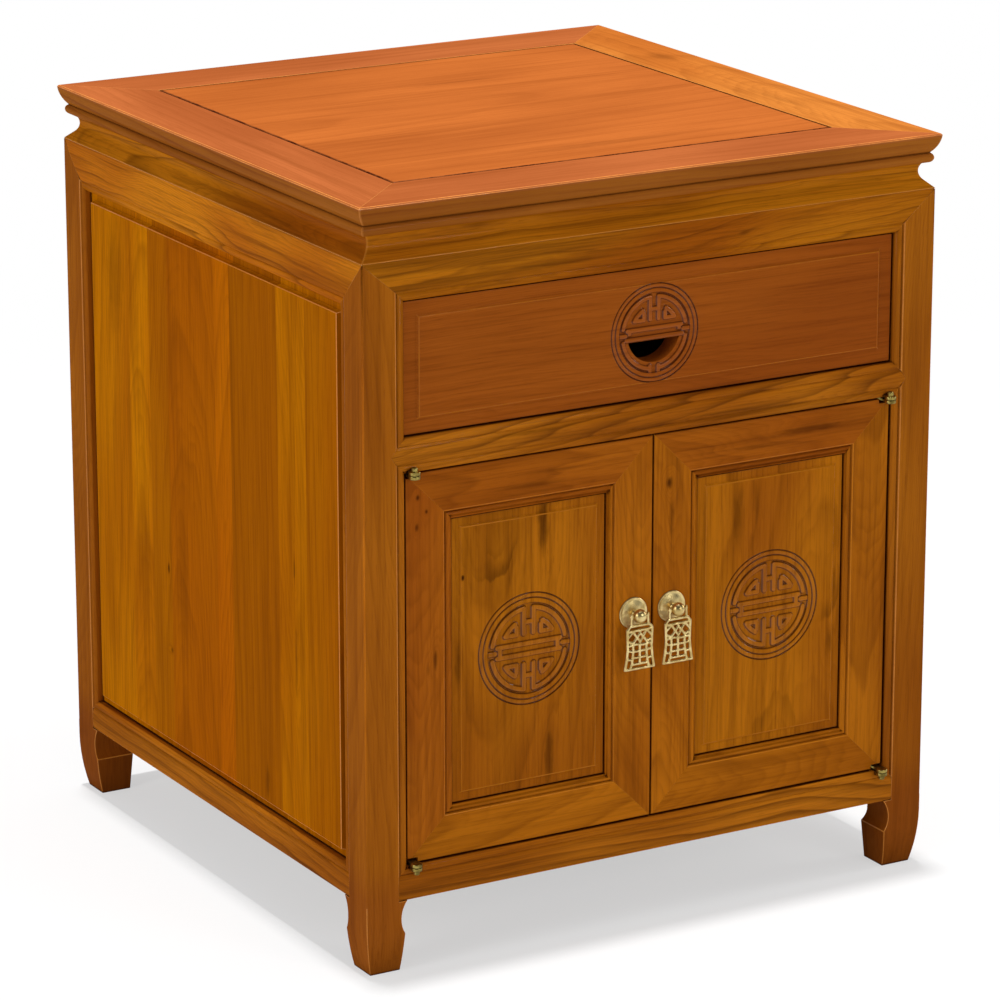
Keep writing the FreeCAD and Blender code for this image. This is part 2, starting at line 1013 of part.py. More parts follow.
def build_door(name, hand):
    """A door drawn on the right of the cabinet, mirrored for the left one."""
    place = across_x if hand < 0 else lambda shape: shape
    x_low, x_high = door_centre_x - door_half, door_centre_x + door_half
    low_tenon, high_tenon = door_tenons(0)
    low_mortise, high_mortise = door_tenons(mortise_relief)
    groove = panel_groove_ring()
    bevel = run_z(
        [
            (door_inner - overrun, door_face),
            (door_inner, door_face),
            (door_inner + meeting_bevel, door_back),
            (door_inner + meeting_bevel, door_back + overrun),
            (door_inner - overrun, door_back + overrun),
        ],
        door_bottom - overrun,
        door_top + overrun,
    )
    leaf_cuts = door_leaf_pockets()

    stile = run_z(door_frame_section(x_low, 1), door_bottom, door_top)
    stile = stile.common(run_y(door_wedge(True), door_face - overrun, door_back + overrun))
    stile = stile.cut(groove)
    meeting = stile.cut(low_mortise).cut(high_mortise).cut(bevel)
    meeting = meeting.cut(knob_shank(door_face - overrun, door_back + overrun))
    hinge_side = stile.mirror(vec(door_centre_x, 0, 0), vec(1, 0, 0))
    hinge_side = hinge_side.cut(low_mortise).cut(high_mortise).cut(leaf_cuts)

    section = [
        (move[1], move[0]) if len(move) == 2 else (move[1], move[0], move[3], move[2])
        for move in door_frame_section(door_bottom, 1)
    ]
    lower = run_x(section, x_low, x_high)
    lower = lower.common(run_y(door_wedge(False), door_face - overrun, door_back + overrun)).cut(groove)
    upper = across_z(lower, door_middle)
    stile_part = Part.makeCompound([meeting, hinge_side])
    lower = lower.fuse(low_tenon.cut(groove)).cut(stile_part).cut(leaf_cuts).cut(bevel)
    upper = upper.fuse(high_tenon.cut(groove)).cut(stile_part).cut(leaf_cuts).cut(bevel)

    panel = raised_panel(
        door_half - door_member_width,
        door_face,
        door_bottom + door_member_width,
        door_top - door_member_width,
        door_groove_depth,
        door_tongue_depth,
        door_tongue_thickness,
        door_margin_depth,
        door_field_depth,
        door_panel_margin,
        door_panel_bevel,
    )
    panel.translate(vec(door_centre_x, 0, 0))
    field = door_face + door_field_depth
    panel = carve_roundel(panel, door_centre_x, field, door_middle, door_roundel_diameter)

    node(name + "_hinge_stile", place(whole(hinge_side)))
    node(name + "_meeting_stile", place(whole(meeting)))
    node(name + "_top_rail", place(whole(upper)))
    node(name + "_bottom_rail", place(whole(lower)))
    node(name + "_panel", place(whole(panel)))
    leaf = door_leaf()
    node(name + "_hinge_leaves", place(leaf), place(across_z(leaf, door_middle)))
    node(name + "_strike", place(strike()))


# Pivot hinges: a leaf let into the rail and one in the door meet at a knuckle before the face

leaf_front = door_face + leaf_setback
leaf_outer = door_outer
leaf_inner = door_outer - leaf_length


def hinge_leaf(leaf_low, knuckle_low, bore):
    plate = block(
        leaf_inner,
        leaf_outer,
        leaf_front,
        leaf_front + leaf_width,
        leaf_low,
        leaf_low + leaf_thickness,
    )
    neck = block(
        hinge_x - neck_width / 2,
        hinge_x + neck_width / 2,
        hinge_y,
        leaf_front,
        leaf_low,
        leaf_low + leaf_thickness,
    )
    knuckle = cylinder(
        vec(hinge_x, hinge_y, knuckle_low),
        vec(hinge_x, hinge_y, knuckle_low + knuckle_height),
        knuckle_diameter,
    )
    hole = cylinder(
        vec(hinge_x, hinge_y, knuckle_low - overrun),
        vec(hinge_x, hinge_y, knuckle_low + knuckle_height + overrun),
        bore,
    )
    return whole(plate.multiFuse([neck, knuckle]).cut(hole))


def door_leaf():
    knuckle_low = hinge_middle - knuckle_gap / 2 - knuckle_height
    return hinge_leaf(door_top - leaf_thickness, knuckle_low, pin_diameter + 2 * pin_play)


def carcass_leaf():
    return hinge_leaf(door_high, hinge_middle + knuckle_gap / 2, pin_diameter)


def hinge_pin():
    """A pin through both knuckles, whose end stands proud as a nub."""
    reach = knuckle_gap / 2 + knuckle_height
    low = vec(hinge_x, hinge_y, hinge_middle - reach)
    high = vec(hinge_x, hinge_y, hinge_middle + reach + pin_proud)
    return cylinder(low, high, pin_diameter)


def door_leaf_pockets():
    """Seats of the two leaves in the door, with the notch that lets the necks out."""
    plate = block(
        leaf_inner,
        leaf_outer + overrun,
        leaf_front,
        leaf_front + leaf_width,
        door_top - leaf_thickness,
        door_top + overrun,
    )
    notch = block(
        hinge_x - notch_width / 2,
        leaf_outer + overrun,
        door_face - overrun,
        leaf_front,
        door_top - notch_height,
        door_top + overrun,
    )
    upper = plate.fuse(notch)
    return Part.makeCompound([upper, across_z(upper, door_middle)])


def carcass_leaf_pockets():
    plate = block(
        leaf_inner,
        leaf_outer,
        leaf_front,
        leaf_front + leaf_width,
        door_high - overrun,
        door_high + leaf_thickness,
    )
    neck = block(
        hinge_x - neck_width / 2,
        hinge_x + neck_width / 2,
        -half_depth - overrun,
        leaf_front,
        door_high - overrun,
        door_high + leaf_thickness,
    )
    upper = plate.fuse(neck)
    pocket = Part.makeCompound([upper, across_z(upper, door_middle)])
    return Part.makeCompound([pocket, across_x(pocket)])


def build_hinges():
    leaf = carcass_leaf()
    pin = hinge_pin()
    leaves = [leaf, across_z(leaf, door_middle)]
    pins = [pin, across_z(pin, door_middle)]
    node("carcass_hinge_leaves", *leaves, *[across_x(solid) for solid in leaves])
    node("hinge_pins", *pins, *[across_x(solid) for solid in pins])


# Magnetic catch behind the middle rail

catch_front = rail_thickness - half_depth
magnet_front = door_back + strike_thickness + catch_air
magnet_level = door_high - magnet_drop


def catch_piece(width, depth, tall, front):
    """A block centred on the line of the catch, on the right of the meeting edges."""
    return block(
        magnet_offset - width / 2,
        magnet_offset + width / 2,
        front,
        front + depth,
        magnet_level - tall / 2,
        magnet_level + tall / 2,
    )


def magnet():
    return catch_piece(magnet_width, magnet_length, magnet_height, magnet_front)


def strike():
    return catch_piece(strike_width, strike_thickness, strike_height, door_back)


def build_catch():
    stop = block(
        -catch_block_width / 2,
        catch_block_width / 2,
        catch_front,
        catch_front + catch_block_depth,
        door_high - catch_block_drop,
        door_high + catch_block_rise,
    )
    pair = [magnet(), across_x(magnet())]
    node("door_stop", whole(stop.cut(Part.makeCompound(pair))))
    node("catch_magnets", *pair)


# Pulls: a rosette, a ball knob with a cross bore, and a pierced pendant that swings on it

pull_z = door_middle + pull_rise
pull_axis_y = door_face - knob_stand

# Rings of the ball, as shares of its radius: from the axis, and forward of its centre
ball_shares = ((0.72, -0.70), (0.97, -0.26), (0.97, 0.26), (0.72, 0.70), (0.26, 1.0))


def knob_shank(front, back):
    """The square shank that holds a knob in its stile, between two depths."""
    half = knob_shank_width / 2
    return block(pull_offset - half, pull_offset + half, front, back, pull_z - half, pull_z + half)


def turned(rings):
    """A turned part with narrow facets, from (radius, distance from the door face)."""
    loops = []
    for radius, distance in rings:
        loop = []
        for index in range(turned_sides):
            turn = 2 * pi * index / turned_sides
            x, z = pull_offset + radius * cos(turn), pull_z + radius * sin(turn)
            loop.append(vec(x, door_face - distance, z))
        loops.append(loop)
    faces = [Part.Face(Part.makePolygon(loop + loop[:1])) for loop in (loops[0], loops[-1])]
    for near, far in zip(loops, loops[1:]):
        for index in range(turned_sides):
            corners = [near[index - 1], near[index], far[index], far[index - 1], near[index - 1]]
            faces.append(Part.Face(Part.makePolygon(corners)))
    return Part.Solid(Part.Shell(faces))


def rosette():
    rim = rosette_diameter / 2
    crown = knob_neck_diameter / 2
    disc = turned([
        (rim, 0),
        (rim - rosette_rim, rosette_rim),
        ((rim + crown) / 2, (rosette_rim + 3 * rosette_dome) / 4),
        (crown, rosette_dome),
    ])
    return whole(disc.cut(knob_shank(door_face - rosette_dome - overrun, door_face + overrun)))


def knob():
    ball = knob_ball_diameter / 2
    neck = knob_neck_diameter / 2
    rings = [(neck, rosette_dome), (neck, knob_stand - sqrt(ball * ball - neck * neck))]
    for radius_share, distance_share in ball_shares:
        rings.append((ball * radius_share, knob_stand + ball * distance_share))
    solid = turned(rings).fuse(knob_shank(door_face - rosette_dome, door_back))
    reach = vec(knob_ball_diameter, 0, 0)
    centre = vec(pull_offset, pull_axis_y, pull_z)
    bore = cylinder(centre - reach, centre + reach, pull_pin_diameter + 2 * pull_pin_play)
    return whole(solid.cut(bore))


def pendant():
    """A pierced plate with a slanting lattice, on two arms that carry the cross pin."""
    top = -pendant_head_drop
    foot_level = -pendant_drop
    waist_level = (top + foot_level) / 2
    half_top = pendant_top_width / 2
    half_waist = pendant_waist_width / 2
    half_foot = pendant_foot_width / 2
    plate = [
        (pendant_shoulder - half_top, top),
        (half_top - pendant_shoulder, top),
        (half_top, top - pendant_shoulder),
        (half_waist, waist_level, half_foot, foot_level),
        (-half_foot, foot_level),
        (-half_waist, waist_level, -half_top, top - pendant_shoulder),
    ]
    shape = run_y(plate, -pendant_thickness / 2, pendant_thickness / 2)
    shape = shape.cut(pendant_windows(top, foot_level))
    half_pin = pendant_arm_inner + pendant_arm_width
    arm = block(
        pendant_arm_inner,
        half_pin,
        -pendant_thickness / 2,
        pendant_thickness / 2,
        top - pendant_border / 2,
        pull_pin_diameter / 2,
    )
    pin = cylinder(vec(-half_pin, 0, 0), vec(half_pin, 0, 0), pull_pin_diameter)
    shape = whole(shape.multiFuse([arm, across_x(arm), pin]))
    shape.translate(vec(pull_offset, pull_axis_y, pull_z))
    return shape


def pendant_windows(top, foot_level):
    """Rows of openings with alternate slanting bars between them."""
    low = foot_level + pendant_border
    high = top - pendant_border
    pitch = (high - low + pendant_bar) / pendant_rows
    wide = pendant_top_width / 2 - pendant_border
    slant = pendant_bar * 2
    windows = []
    for row in range(pendant_rows):
        bottom = low + pitch * row
        ceiling = bottom + pitch - pendant_bar
        lean = slant if row % 2 else -slant
        corner = pendant_shoulder if row == pendant_rows - 1 else 0
        middle = pendant_bar / 2
        left_window = [
            (-wide, bottom),
            (-middle - lean, bottom),
            (-middle + lean, ceiling),
            (corner - wide, ceiling),
        ]
        right_window = [
            (middle - lean, bottom),
            (wide, bottom),
            (wide - corner, ceiling),
            (middle + lean, ceiling),
        ]
        for window in (left_window, right_window):
            windows.append(run_y(window, -pendant_thickness, pendant_thickness))
    return Part.makeCompound(windows)


def build_pulls():
    for name, place in (("right", lambda shape: shape), ("left", across_x)):
        node(name + "_pull_rosette", place(rosette()))
        node(name + "_pull_knob", place(knob()))
        node(name + "_pull_pendant", place(pendant()))


os.makedirs("parts", exist_ok=True)
build_carcass()
build_drawer_frame()
build_drawer()
build_door("right_door", 1)
build_door("left_door", -1)
build_hinges()
build_catch()
build_pulls()
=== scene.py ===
import bpy
import bmesh
import json
import random
import numpy as np
from math import cos, degrees, hypot, pi, radians, sin, sqrt
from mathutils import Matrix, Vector
from mathutils.bvhtree import BVHTree
from mathutils.geometry import delaunay_2d_cdt


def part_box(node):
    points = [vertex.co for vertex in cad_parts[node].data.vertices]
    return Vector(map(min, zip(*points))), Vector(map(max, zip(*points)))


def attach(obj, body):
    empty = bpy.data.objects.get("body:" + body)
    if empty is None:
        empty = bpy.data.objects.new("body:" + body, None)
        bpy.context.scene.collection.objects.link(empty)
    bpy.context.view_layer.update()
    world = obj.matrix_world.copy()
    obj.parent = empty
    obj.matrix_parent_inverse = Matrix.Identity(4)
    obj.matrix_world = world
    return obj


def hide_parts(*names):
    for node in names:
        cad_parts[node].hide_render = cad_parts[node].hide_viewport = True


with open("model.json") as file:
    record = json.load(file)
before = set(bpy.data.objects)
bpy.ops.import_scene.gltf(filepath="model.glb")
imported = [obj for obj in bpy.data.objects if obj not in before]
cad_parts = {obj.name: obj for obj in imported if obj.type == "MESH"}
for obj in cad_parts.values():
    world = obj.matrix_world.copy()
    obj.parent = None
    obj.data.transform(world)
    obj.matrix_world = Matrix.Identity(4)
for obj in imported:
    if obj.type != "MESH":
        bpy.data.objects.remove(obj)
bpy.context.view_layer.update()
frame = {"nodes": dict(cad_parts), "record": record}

# Metres throughout. The front faces -Y, X runs to the right and the floor is z = 0.
nodes = frame["nodes"]
nodeBody = {name: body for body, names in frame["record"]["behaviour"]["bodies"].items() for name in names}
nodeSlot = {part["node"]: part["material_slot"] for part in frame["record"]["subparts"]}
mm = 0.001
bounds = {name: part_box(name) for name in nodes}


# Camera, at the photo's angle

cameraSpot = {
    "azimuth": -30.076,
    "elevation": 16.491,
    "distance": 4.263,
    "lens": 173.8,
    "sensor": 36.0,
    "aim": (0.0081, 0.0007, 0.3017),
}


def placeCamera(spot):
    turn, rise = radians(spot["azimuth"]), radians(spot["elevation"])
    back = Vector((sin(turn) * cos(rise), -cos(turn) * cos(rise), sin(rise)))
    data = bpy.data.cameras.new("photoCamera")
    data.lens = spot["lens"]
    data.sensor_width = spot["sensor"]
    data.clip_end = 200.0
    camera = bpy.data.objects.new("photoCamera", data)
    camera.location = Vector(spot["aim"]) + back * spot["distance"]
    camera.rotation_euler = back.to_track_quat("Z", "Y").to_euler()
    bpy.context.scene.collection.objects.link(camera)
    bpy.context.scene.camera = camera


placeCamera(cameraSpot)
print("camera placed")


# Shader nodes: a Wire is one socket, and a sum on it adds Math nodes

class Wire:
    def __init__(self, finish, socket):
        self.finish = finish
        self.socket = socket

    def math(self, operation, first, second=0.0):
        return self.finish.add("Math", {"operation": operation}, {0: first, 1: second})

    def __add__(self, other):
        return self.math("ADD", self, other)

    def __radd__(self, other):
        return self.math("ADD", other, self)

    def __sub__(self, other):
        return self.math("SUBTRACT", self, other)

    def __rsub__(self, other):
        return self.math("SUBTRACT", other, self)

    def __mul__(self, other):
        return self.math("MULTIPLY", self, other)

    def __rmul__(self, other):
        return self.math("MULTIPLY", other, self)

    def __truediv__(self, other):
        return self.math("DIVIDE", self, other)

    def __pow__(self, other):
        return self.math("POWER", self, other)


class Finish:
    def __init__(self, tree):
        self.tree = tree

    def feed(self, socket, value):
        if isinstance(value, Wire):
            self.tree.links.new(value.socket, socket)
        else:
            socket.default_value = value

    def add(self, kind, settings, inputs, output=0):
        node = self.tree.nodes.new("ShaderNode" + kind)
        for name, value in settings.items():
            if name == "stops":  # each a place on the ramp and three values that hold from there
                ramp = node.color_ramp
                ramp.interpolation = "CONSTANT"
                for step, (at, values) in enumerate(value):
                    element = ramp.elements[step] if step < 2 else ramp.elements.new(at)
                    element.position = at
                    element.color = tuple(values) + (1.0,)
            else:
                setattr(node, name, value)
        for name, value in inputs.items():
            self.feed(node.inputs[name], value)
        if isinstance(output, tuple):
            return [Wire(self, node.outputs[index]) for index in output]
        return Wire(self, node.outputs[output])

    def mix(self, share, first, second, blend="MIX"):
        settings = {"data_type": "RGBA", "blend_type": blend}
        return self.add("Mix", settings, {0: share, 6: first, 7: second}, 2)

    def noise(self, vector, scale, detail=2.0, roughness=0.5):
        values = {"Vector": vector, "Scale": scale, "Detail": detail, "Roughness": roughness}
        return self.add("TexNoise", {"noise_dimensions": "3D"}, values)

    def band(self, value, low, high):  # 0 below low, 1 above high, smooth between
        settings = {"interpolation_type": "SMOOTHSTEP"}
        return self.add("MapRange", settings, {"Value": value, "From Min": low, "From Max": high})

    def join(self, x, y, z):
        return self.add("CombineXYZ", {}, {0: x, 1: y, 2: z})

    def larger(self, first, second):
        return self.add("Math", {"operation": "MAXIMUM"}, {0: first, 1: second})

    def fraction(self, value):  # what is left over a whole number
        return self.add("Math", {"operation": "FRACT"}, {0: value})


def newFinish(name):
    material = bpy.data.materials.new(name)
    material.use_nodes = True
    finish = Finish(material.node_tree)
    finish.material = material
    finish.shader = material.node_tree.nodes["Principled BSDF"]
    return finish


def paint(red, green, blue):  # a colour as a screen shows it, 0 to 255, made linear
    shares = [value / 255 for value in (red, green, blue)]
    return tuple(s / 12.92 if s <= 0.04045 else ((s + 0.055) / 1.055) ** 2.4 for s in shares) + (1.0,)


def tinted(colour, shares):
    return tuple(value * share for value, share in zip(colour, shares)) + (1.0,)


def grey(value):
    return (value, value, value, 1.0)


# Wood. Every board is cut from a log of its own, whose pith lies behind the face that shows

timberDefaults = {
    "spacing": 9 * mm,      # from one dark ring to the next
    "warp": 7 * mm,         # how far the rings wander
    "slowWarpShare": 3.0,
    "wobbleShare": 0.7,
    "pithDepth": 55 * mm,
    "pithDepthShares": (0.8, 1.3),
    "pithReach": (0, 30),   # how far to a side of the board's middle the pith lies, in mm
    "gluedPith": 185 * mm,  # and how much farther in a panel of glued boards
    "tilt": 0.03,           # how much the pith runs off to a side at most
    "lean": 0.09,           # how the log tapers towards the face, which draws arches
    "veinShare": 0.50,
    "veinPower": 3.2,
    "ringPeak": 1.3,
    "fineRings": 4.3,       # fine rings to each ring
    "finePower": 2.2,
    "fineWobble": 0.8,
    "fineShare": 0.26,
    "streakShare": 0.34,
    "fibreShare": 0.36,
    "poreShare": 0.30,
    "markRagged": 0.9,
    "loopRagged": 0.2,
    "markSwell": 0.9,       # how far the rings bend round a mark, in rings
    "markTint": (0.42, 0.42, 0.42),
    "boards": 0,            # glued side by side
    "boardSpread": 0.25,    # how far their edges stray, in widths of a board
    "boardJump": (0.37, 0.83),  # how far apart they lie in the log at most, across and along it, in metres
    "reddest": 0.8,
    "deepTint": (0.72, 0.66, 0.60),
    "deepShare": 0.85,
    "redTint": (1.0, 0.72, 1.0),
    "redShare": 0.60,
    "roughness": 0.26,
    "fibreRoughness": 0.12,
    "bump": 0.10,
    "bumpHeight": 0.12 * mm,
    "bumpShares": (0.4, 0.6, 0.5),  # of fibre, streaks and pores
    "coat": 0.035,
    "carvedCoat": 0.5,      # more coat on the slopes of the carving
    "coatRoughness": 0.07,
    "arrisCoat": 0.12,
    # Colour, share and reach of the painted shade in hollows and joints, with the lacquer gathered there
    "hollow": (54, 12, 2),
    "hollowShare": 0.90,
    "hollowReach": 2.6 * mm,
    # Colour of the eased edges and of rims and beads, and how much the rims take it: rubbed wood and a
    # painted highlight
    "arris": (196, 112, 24),
    "crestShare": 0.30,
    "crestReach": 1.3 * mm,
    "ease": 0.60 * mm,
}

# Noise drawn out along a board: waves to the metre along it and across it, the direction that takes the
# board's own shift (0 along, 1 across, 2 into the board), detail and roughness
grains = {
    "slow": (3.0, 9.0, 0, 2.0, 0.5),
    "wobble": (10.0, 42.0, 1, 2.0, 0.5),
    "patches": (5.0, 34.0, 2, 2.0, 0.5),
    "ragged": (60.0, 220.0, 2, 2.0, 0.5),
    "streaks": (2.6, 75.0, 1, 3.0, 0.6),
    "fibre": (11.0, 430.0, 0, 4.0, 0.62),
    "pores": (70.0, 1700.0, 2, 1.0, 0.5),
}

shiftReach = (5.0, 60.0)

# Where each mask starts, and where it is full
fades = {
    "tone": (0.36, 0.66),
    "streak": (0.46, 0.74),
    "fibre": (0.44, 0.72),
    "pore": (0.62, 0.74),
    "ringEnd": (0.88, 1.0),
    "ringPatch": (0.30, 0.62),
    "fineEnd": (0.80, 1.0),
    "finePatch": (0.70, 0.34),
    "markCore": (0.15, 1.05),
    "markSwell": (0.3, 2.8),
    "loopInside": (0.55, 1.0),
    "loopOutside": (1.0, 1.08),
    "loopHalf": (0.0, 0.8),
    "loopPatch": (0.25, 0.6),
    "hollow": (0.13, 0.44),
    "crest": (0.16, 0.60),
    "arrisPlain": (0.34, 0.66),
    "arrisFleck": (0.50, 0.72),
    "arrisHollow": (0.10, 0.34),
}

# "lower" is (height in mm up to which a piece has another tint, height where that ends, the tint, how
# much stronger the veins are there): on the moulded edges of the top a painted shade, darker and more olive,
# as they turn from the light above; on the feet a darker, redder tint towards the floor
shadedMouldedEdge = (650.0, 653.4, (0.90, 1.04, 0.42), 1.7)
timbers = {
    "top": {"light": (178, 98, 52), "dark": (160, 84, 42), "vein": (124, 60, 20), "veinShare": 0.26,
            "fineShare": 0.14, "fibreShare": 0.20, "ease": 0.35 * mm, "lower": shadedMouldedEdge,
            "pithReach": (30, 50), "pithDepth": 35 * mm, "lean": 0.03, "arris": (226, 146, 70),
            "arrisCoat": 0.4, "hollow": (84, 42, 10), "hollowShare": 0.66},
    # The top panel's wide eased edge takes a dark colour: the painted shade of the groove round the panel
    "topPanel": {"light": (182, 99, 43), "dark": (164, 86, 36), "vein": (130, 62, 20), "veinShare": 0.24,
                 "spacing": 18 * mm, "fineShare": 0.12, "fibreShare": 0.20, "ease": 1.5 * mm,
                 "arris": (64, 20, 6), "crestShare": 0.0},
    "topGold": {"light": (198, 120, 50), "dark": (180, 100, 38), "vein": (136, 70, 22), "veinShare": 0.34,
                "ease": 0.35 * mm, "lower": shadedMouldedEdge, "arris": (232, 150, 72), "arrisCoat": 0.4,
                "hollow": (84, 42, 10), "hollowShare": 0.66},
    "crown": {"light": (200, 122, 20), "dark": (162, 84, 12), "vein": (80, 36, 6), "veinShare": 0.72,
              "veinPower": 5.0, "hollow": (70, 28, 6), "hollowShare": 0.7, "spacing": 7 * mm,
              "warp": 13 * mm, "pithReach": (30, 50), "pithDepth": 32 * mm, "lean": 0.045,
              "streakShare": 0.46, "arris": (222, 146, 56), "arrisCoat": 0.45},
    "post": {"light": (181, 105, 21), "dark": (161, 88, 17), "arris": (206, 128, 44), "arrisCoat": 0.35,
             "lower": (62.0, 104.0, (0.80, 0.72, 1.10), 0.0), "vein": (112, 52, 8), "veinShare": 0.28,
             "fineShare": 0.20},
    "rail": {"light": (197, 117, 24), "dark": (164, 89, 16), "vein": (80, 36, 8), "veinShare": 0.66,
             "veinPower": 2.8, "spacing": 6 * mm, "warp": 8 * mm, "pithReach": (30, 46),
             "pithDepth": 30 * mm, "lean": 0.05, "streakShare": 0.40},
    "side": {"light": (215, 131, 1), "dark": (193, 109, 1), "vein": (112, 52, 1), "veinShare": 0.34,
             "coat": 0.02, "streakShare": 0.40, "spacing": 11 * mm, "boards": 9,
             "arris": (224, 140, 60), "arrisCoat": 0.45},
    "drawer": {"light": (167, 87, 23), "dark": (153, 76, 19), "vein": (108, 46, 8), "veinShare": 0.24,
               "arris": (176, 100, 20), "arrisCoat": 0.04, "spacing": 7 * mm, "streakShare": 0.26,
               "lean": 0.02, "pithReach": (60, 80)},
    "doorFrame": {"light": (192, 112, 19), "dark": (167, 92, 15), "vein": (100, 46, 6), "veinShare": 0.40,
                  "arris": (198, 118, 20), "arrisCoat": 0.05},
    "redFrame": {"light": (183, 101, 21), "dark": (163, 83, 17), "vein": (100, 42, 6), "veinShare": 0.40,
                 "arris": (192, 110, 20), "arrisCoat": 0.05},
    "doorPanel": {"light": (191, 113, 17), "dark": (166, 91, 15), "vein": (92, 40, 4), "veinShare": 0.34,
                  "arris": (176, 104, 12), "arrisCoat": 0.04, "spacing": 16 * mm, "warp": 9 * mm,
                  "fineShare": 0.20, "streakShare": 0.30},
    "inner": {"light": (186, 138, 84), "dark": (168, 118, 68), "vein": (132, 88, 48), "veinShare": 0.30,
              "coat": 0.0, "roughness": 0.44, "crestShare": 0.0, "hollowShare": 0.3, "hollow": (110, 70, 34),
              "arris": (180, 134, 84)},
}

# The figure of single pieces: where the pith lies in mm, glued boards and dark marks.
# A board edge is (where a board starts, in mm across from the middle of the piece, tone, redness).
# A mark is (across, along, half width, half length, strength) from the middle of the piece, in mm.
# A loop is half an oval line of that size, closed at the end that its half length points to
figures = {
    "left_door_panel": {
        "pith": -42, "lean": -0.14,
        "marks": [(13, 108, 7, 34, 0.75), (19, -96, 6, 36, 0.60), (-63, 71, 2.2, 3.5, 0.95),
                  (-67, -6, 4, 26, 0.45), (-34, 105, 48, 84, 0.22)],
        "loops": [(-36, 118, 27, -58, 0.55), (-36, 122, 17, -42, 0.32), (-30, -20, 22, 26, 0.22)],
    },
    "right_door_panel": {
        "pith": 46, "lean": 0.10,
        "marks": [(-33, 88, 7, 38, 0.45), (-14, 92, 4, 30, 0.30), (66, 4, 4, 22, 0.50),
                  (62, -44, 5, 16, 0.35)],
        "loops": [(56, 26, 15, -46, 0.40), (8, -150, 26, 66, 0.35), (8, -150, 16, 44, 0.28)],
    },
    "right_door_meeting_stile": {
        "marks": [(-7, 124, 4.0, 7, 0.85), (-4, 92, 3.4, 20, 0.40), (9, 60, 2, 18, 0.25)],
    },
    "left_door_hinge_stile": {
        "marks": [(-10, 146, 2.2, 3.0, 0.80), (-2, 133, 1.9, 2.6, 0.80), (-11, 121, 2.6, 4.5, 0.65),
                  (6, 5, 2.4, 12, 0.60), (-1, -2, 2, 8, 0.35)],
    },
    "left_door_top_rail": {"marks": [(-4, 0, 3.2, 46, 0.35), (5, 30, 2.4, 30, 0.30)]},
    "right_door_top_rail": {"marks": [(5, 34, 4.2, 44, 0.50), (-3, -20, 2.6, 30, 0.35)]},
    "left_side_panel": {
        "boardEdges": [(-243.5, 0.30, 0.0), (-175.0, 0.58, 0.0), (-124.0, 0.02, 0.0), (-38.4, 0.74, 0.9),
                       (-10.0, 0.10, 0.5), (78.0, 0.24, 0.0), (115.6, 1.0, 0.05), (155.6, 0.70, 0.0)],
        "marks": [(183, 172, 20, 66, 0.30), (86.2, -70, 2.2, 6, 0.85), (83, -144, 4, 3, 0.55),
                  (-150.4, -7, 1.8, 13, 0.60), (-152, -88, 3, 42, 0.40), (-97, -210, 5, 22, 0.45)],
    },
    "front_top_rail": {
        "marks": [(1, 84, 2.6, 8, 0.35), (-2, -103, 2.8, 62, 0.30), (7, 150, 2.2, 40, 0.25),
                  (-8, 30, 2.2, 60, 0.20)],
    },
    "front_mid_rail": {"pith": 24, "lean": 0.09, "marks": [(4, -120, 2.2, 60, 0.40), (-5, 60, 2, 50, 0.30)]},
    "top_frame_right": {"marks": [(4, 120, 12, 26, 0.30), (-8, -90, 6, 60, 0.22)]},
    "top_panel": {"marks": [(113, 30, 3, 56, 0.30), (-170, 10, 10, 120, 0.22)]},
}


def boardSteps(look, width, pick):  # (where a board starts as a share of the panel, its tone, its redness)
    if "boardEdges" in look:
        return [((start * mm) / width + 0.5, tone, red) for start, tone, red in look["boardEdges"]]
    count, spread = look["boards"], look["boardSpread"]
    return [((index + pick.uniform(-spread, spread)) / count if index else 0.0, pick.random(),
             pick.uniform(0, look["reddest"])) for index in range(count)]


def drawnOut(finish, kind, places, shift):
    along, across, shifted, detail, roughness = grains[kind]
    stretched = [place * waves for place, waves in zip(places, (along, across, across))]
    stretched[shifted] = stretched[shifted] + shift
    return finish.noise(finish.join(*stretched), 1.0, detail, roughness)


def pithDistance(look, pick, run, own, noises, glued):  # the log's rings wander slowly along it
    ownRun, ownSide, depth = own
    pith = pick.uniform(*look["pithReach"]) * pick.choice((-1.0, 1.0))
    lean = look["lean"] * (1.0 if "pith" in look else pick.choice((-1.0, 1.0)))
    pith = look.get("pith", pith) * mm + (look["gluedPith"] if glued else 0.0)
    offSide = ownSide - run * pick.uniform(-look["tilt"], look["tilt"]) - pith
    offDepth = look["pithDepth"] * pick.uniform(*look["pithDepthShares"]) - depth + ownRun * lean
    radius = (offSide * offSide + offDepth * offDepth) ** 0.5
    return (radius + (noises["slow"] - 0.5) * (look["warp"] * look["slowWarpShare"])
            + (noises["wobble"] - 0.5) * (look["warp"] * look["wobbleShare"]))


def fromMark(mark, run, side):  # how far points lie from a mark, 1 on its outline, and how far along it
    across, along, halfWidth, halfLength = [length * mm for length in mark[:4]]
    offAcross, offAlong = (side - across) / halfWidth, (run - along) / halfLength
    return (offAcross * offAcross + offAlong * offAlong) ** 0.5, offAlong


